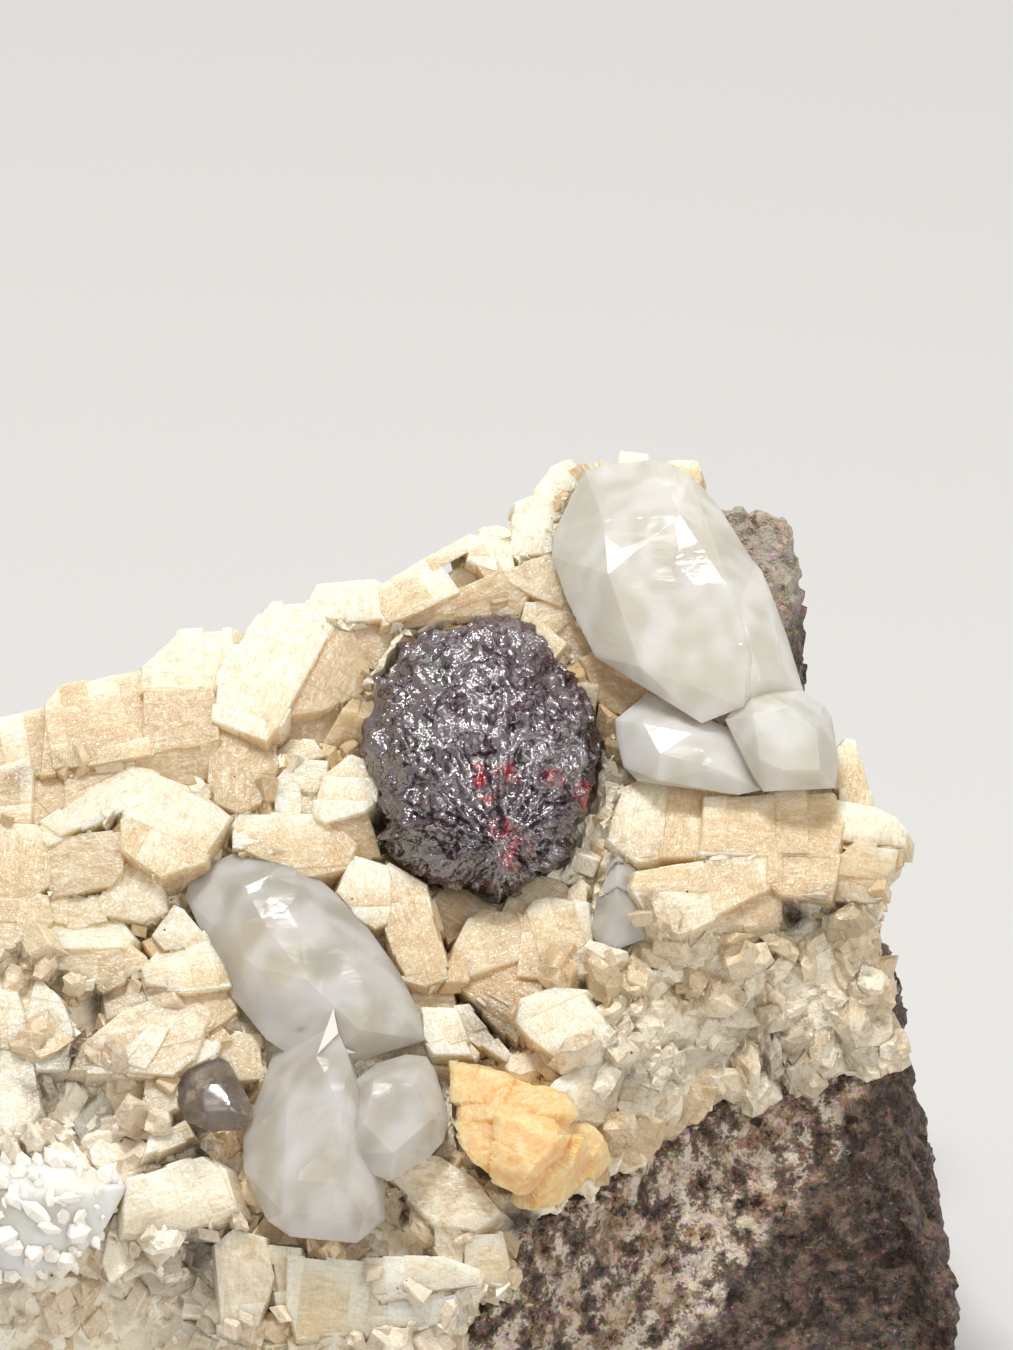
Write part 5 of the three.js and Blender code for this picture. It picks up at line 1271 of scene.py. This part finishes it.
quartzLook = {
    "roughness": 0.05,
    "warm": (255, 243, 231),
    # colour, and share of light let through where clearest and where milkiest
    "milky": ((255, 249, 243), 0.48, 0.32),
    "clear": ((255, 250, 246), 0.62, 0.46),
    "smoky": ((220, 212, 214), 0.95, 0.85),
    "snowy": ((255, 253, 248), 0.1, 0),
    # painted highlight: one small white plate on the lower crystal's front that stands for a glint, by its
    # corners in the straight view, in mm
    "glintPane": [[-1.1, 22.7], [-2.1, 19.9], [0.2, 19.9]],
    "glintPaneThick": 0.05,
    "points": [0.75, 0.4, 1.1, 2],  # the druse's small points, as in grainLook
    "upright": 0.75,        # how far they turn to stand on the druse
    "druseVoxel": 0.3,
    "bevel": 0.07,
    "veilSizes": (0.6, 1.9),  # of the bent cracks inside
    "seed": 4,
}


def quartzMaterial(name, colour, clearest, milkiest):
    material, shader = newMaterial(name)
    tree = material.node_tree
    look = quartzLook
    place = placeNode(tree)
    clouds = noiseNode(tree, placeNode(tree, (1, 1, 0.55), (0, 0.45, 0)), 0.4, 1, 0.5)
    haze = noiseNode(tree, place, 0.6, 2)
    height = noiseNode(tree, placeNode(tree, (0.5, 0.5, 1.6), (0, 0.5, 0)), 1.5, 3, 0.6)
    feed(shader, {
        "Base Color": stainNode(tree, tone(*look["warm"]), clouds, 0.35, 0.65, 1, colour),
        "Roughness": rangeNode(tree, haze, 0.4, 0.62, look["roughness"], 0.25),
        "Normal": bumpNode(tree, height, 0.05, 0.5, facetNode(tree, place, 0.5, 0.07)),
        "IOR": 1.544,
        "Transmission Weight": rangeNode(tree, clouds, 0.35, 0.65, clearest, milkiest),
        "Subsurface Weight": 1,
        "Subsurface Radius": (1, 1, 1),
        "Subsurface Scale": mm,
    })
    return material


# Thin cracks inside quartz turn light back, because what fills them is thinner than the quartz.
def veilMaterial():
    material, shader = newMaterial("quartzVeil")
    tree = material.node_tree
    cracked = noiseNode(tree, placeNode(tree), 1.2, 4, 0.6)
    feed(shader, {
        "Base Color": (1, 1, 1, 1),
        "Roughness": 0.08,
        "Normal": bumpNode(tree, cracked, 0.3, 0.6),
        "IOR": 0.65,
        "Transmission Weight": 1,
    })
    return material


# The druse's small white points, and the white plate of the painted highlight.
def sugarAndGlintMaterial():
    material, shader = newMaterial("drusePoints")
    feed(shader, {"Base Color": tone(255, 251, 242), "Roughness": 0.18})
    return material


honeyLook = {
    "voxel": 0.16,
    "bump": 0.5,
    "noise": 1.4,
    "cell": 3,
    "tilt": 0.2,
    "sink": 0.1,
    "deep": (237, 194, 134),
    "pale": (251, 220, 172),
    "amber": (226, 158, 68),
    "amberFrom": (18, 12),  # heights between which it turns amber
    "glowDepth": 1.6,
}


def honeyMaterial():
    material, shader = newMaterial("honeyCrystal")
    tree = material.node_tree
    look = honeyLook
    place = placeNode(tree)
    parts = newNode(tree, "ShaderNodeSeparateXYZ", {0: place}).outputs
    clouds = noiseNode(tree, place, 0.8, 5, 0.65)
    colour = stainNode(tree, tone(*look["deep"]), clouds, 0.35, 0.65, 1, look["pale"])
    fine = noiseNode(tree, place, 2, 4, 0.6)
    feed(shader, {
        "Base Color": stainNode(tree, colour, parts["Z"], *look["amberFrom"], 0.8, look["amber"]),
        "Roughness": 0.3,
        "Normal": bumpNode(tree, fine, 0.25, 0.8, facetNode(tree, place, 0.5, 0.1)),
        "Subsurface Weight": 0.9,
        "Subsurface Radius": (1, 0.65, 0.3),
        "Subsurface Scale": look["glowDepth"] * mm,
    })
    return material


# A thin white plate that lies on a crystal's front, under the given corners of the straight view: a painted
# highlight that stands for a glint.
def addGlintPane(shape, corners):
    surface = BVHTree.FromBMesh(shape)
    back = faceFrame @ Vector((0, 0, -1))
    feet = []
    for across, up in corners:
        ray = faceFrame @ seen(across, up, 9) * mm  # from well in front
        hit = surface.ray_cast(ray, back)[0]
        if hit is not None:
            feet.append(hit)
    if len(feet) < 3:
        return
    thick = quartzLook["glintPaneThick"] * mm
    rings = [[shape.verts.new(foot + back * way * thick) for foot in feet] for way in (-1, 1)]
    made = [shape.faces.new(rings[0]), shape.faces.new(rings[1][::-1])]
    for i in range(len(feet)):
        made.append(shape.faces.new([rings[1][i - 1], rings[1][i], rings[0][i], rings[0][i - 1]]))
    bmesh.ops.triangulate(shape, faces=made[:2])
    glintPane = {polygon for vertex in rings[0] + rings[1] for polygon in vertex.link_faces}
    for polygon in glintPane:
        polygon.material_index = 2
    bmesh.ops.recalc_face_normals(shape, faces=list(glintPane))


# A crystal from its solid, with soft edges and with thin bent cracks inside it, and a painted highlight
# plate on its front where one is given.
def quartzCrystal(node, name, finishes, veilCount, rng, glintPane=None):
    look = quartzLook
    mesh = nodeCopy(node, name)
    for finish in finishes:
        mesh.materials.append(finish)
    shape = bmesh.new()
    shape.from_mesh(mesh)
    bmesh.ops.bevel(shape, geom=shape.edges[:], offset=look["bevel"] * mm, segments=1, affect="EDGES",
                    clamp_overlap=True)
    corners = [vertex.co.copy() for vertex in shape.verts]
    middle = sum(corners, Vector()) / len(corners)
    for _ in range(veilCount):
        heart = middle.lerp(rng.choice(corners), rng.uniform(0.1, 0.6))
        turn = Euler([rng.uniform(0, math.pi) for _ in range(3)]).to_matrix()
        wide = rng.uniform(*look["veilSizes"])
        made = bmesh.ops.create_uvsphere(shape, u_segments=14, v_segments=8, radius=1)
        for vertex in made["verts"]:
            place = Vector((vertex.co.x * wide, vertex.co.y * wide * 0.6, vertex.co.z * 0.03))
            place.z += 0.25 * noise.noise(place + heart / mm)
            vertex.co = heart + turn @ place * mm
            for polygon in vertex.link_faces:
                polygon.material_index = 1
    if glintPane:
        addGlintPane(shape, glintPane)
    shape.to_mesh(mesh)
    shape.free()
    return addObject(name, mesh)


def drusePoints(material):
    look = quartzLook
    surface = remeshed(nodeCopy("quartz_druse", "drusePoints"), look["druseVoxel"])
    closeness = surface.attributes.new("closeness", "FLOAT", "POINT")
    closeness.data.foreach_set("value", [1] * len(surface.vertices))
    return scattered("drusePoints", material, surface, pointShape(), look["points"], look["upright"])


def honeyCrystal():
    mesh = remeshed(nodeCopy("yellow_crystal", "honeyCrystal"), honeyLook["voxel"])
    return roughened("honeyCrystal", honeyMaterial(), honeyLook, mesh)


addCamera()
addStage()
print("camera and stage set")
crystals = dolomiteCrystals()
ground = crustGround()
grains = dolomiteGrains(ground)
lumps = dolomiteLumps(ground)
rock = darkRock()
cinnabar = cinnabarCrystal()
rng = random.Random(quartzLook["seed"])
milky = quartzMaterial("milkyQuartz", *quartzLook["milky"])
clear = quartzMaterial("clearQuartz", *quartzLook["clear"])
smoky = quartzMaterial("smokyQuartz", *quartzLook["smoky"])
snowy = quartzMaterial("snowyQuartz", *quartzLook["snowy"])
veil = veilMaterial()
# the druse points' white, also used for the white plate of the painted highlight
sugarAndGlint = sugarAndGlintMaterial()
pieces = [
    (crystals, "dolomite_crust", "dolomite"),
    (ground, "dolomite_crust", "dolomite"),
    (grains, "dolomite_crust", "dolomite"),
    (lumps, "dolomite_crust", "dolomite"),
    (rock, "matrix_rock", "rock"),
    (cinnabar, "cinnabar_crystal", "cinnabar"),
    (quartzCrystal("quartz_upper", "quartzUpper", (milky, veil), 7, rng), "quartz_upper", "quartz"),
    (quartzCrystal("quartz_lower", "quartzLower", (clear, veil, sugarAndGlint), 9, rng,
                   quartzLook["glintPane"]), "quartz_lower", "quartz"),
    (quartzCrystal("quartz_near", "quartzNear", (clear, veil), 4, rng), "quartz_near", "quartz"),
    (quartzCrystal("quartz_dark", "quartzDark", (smoky, veil), 5, rng), "quartz_dark", "quartz"),
    (quartzCrystal("quartz_druse", "quartzDruse", (snowy, veil), 6, rng), "quartz_druse", "quartz"),
    (drusePoints(sugarAndGlint), "quartz_druse", "quartz"),
    (honeyCrystal(), "yellow_crystal", "yellow"),
]
for piece, node, slotName in pieces:
    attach(piece, "root")
    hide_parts(node)
print("quartz and yellow crystal built,", len(pieces), "pieces in all")
bpy.context.scene.view_settings.view_transform = "Standard"
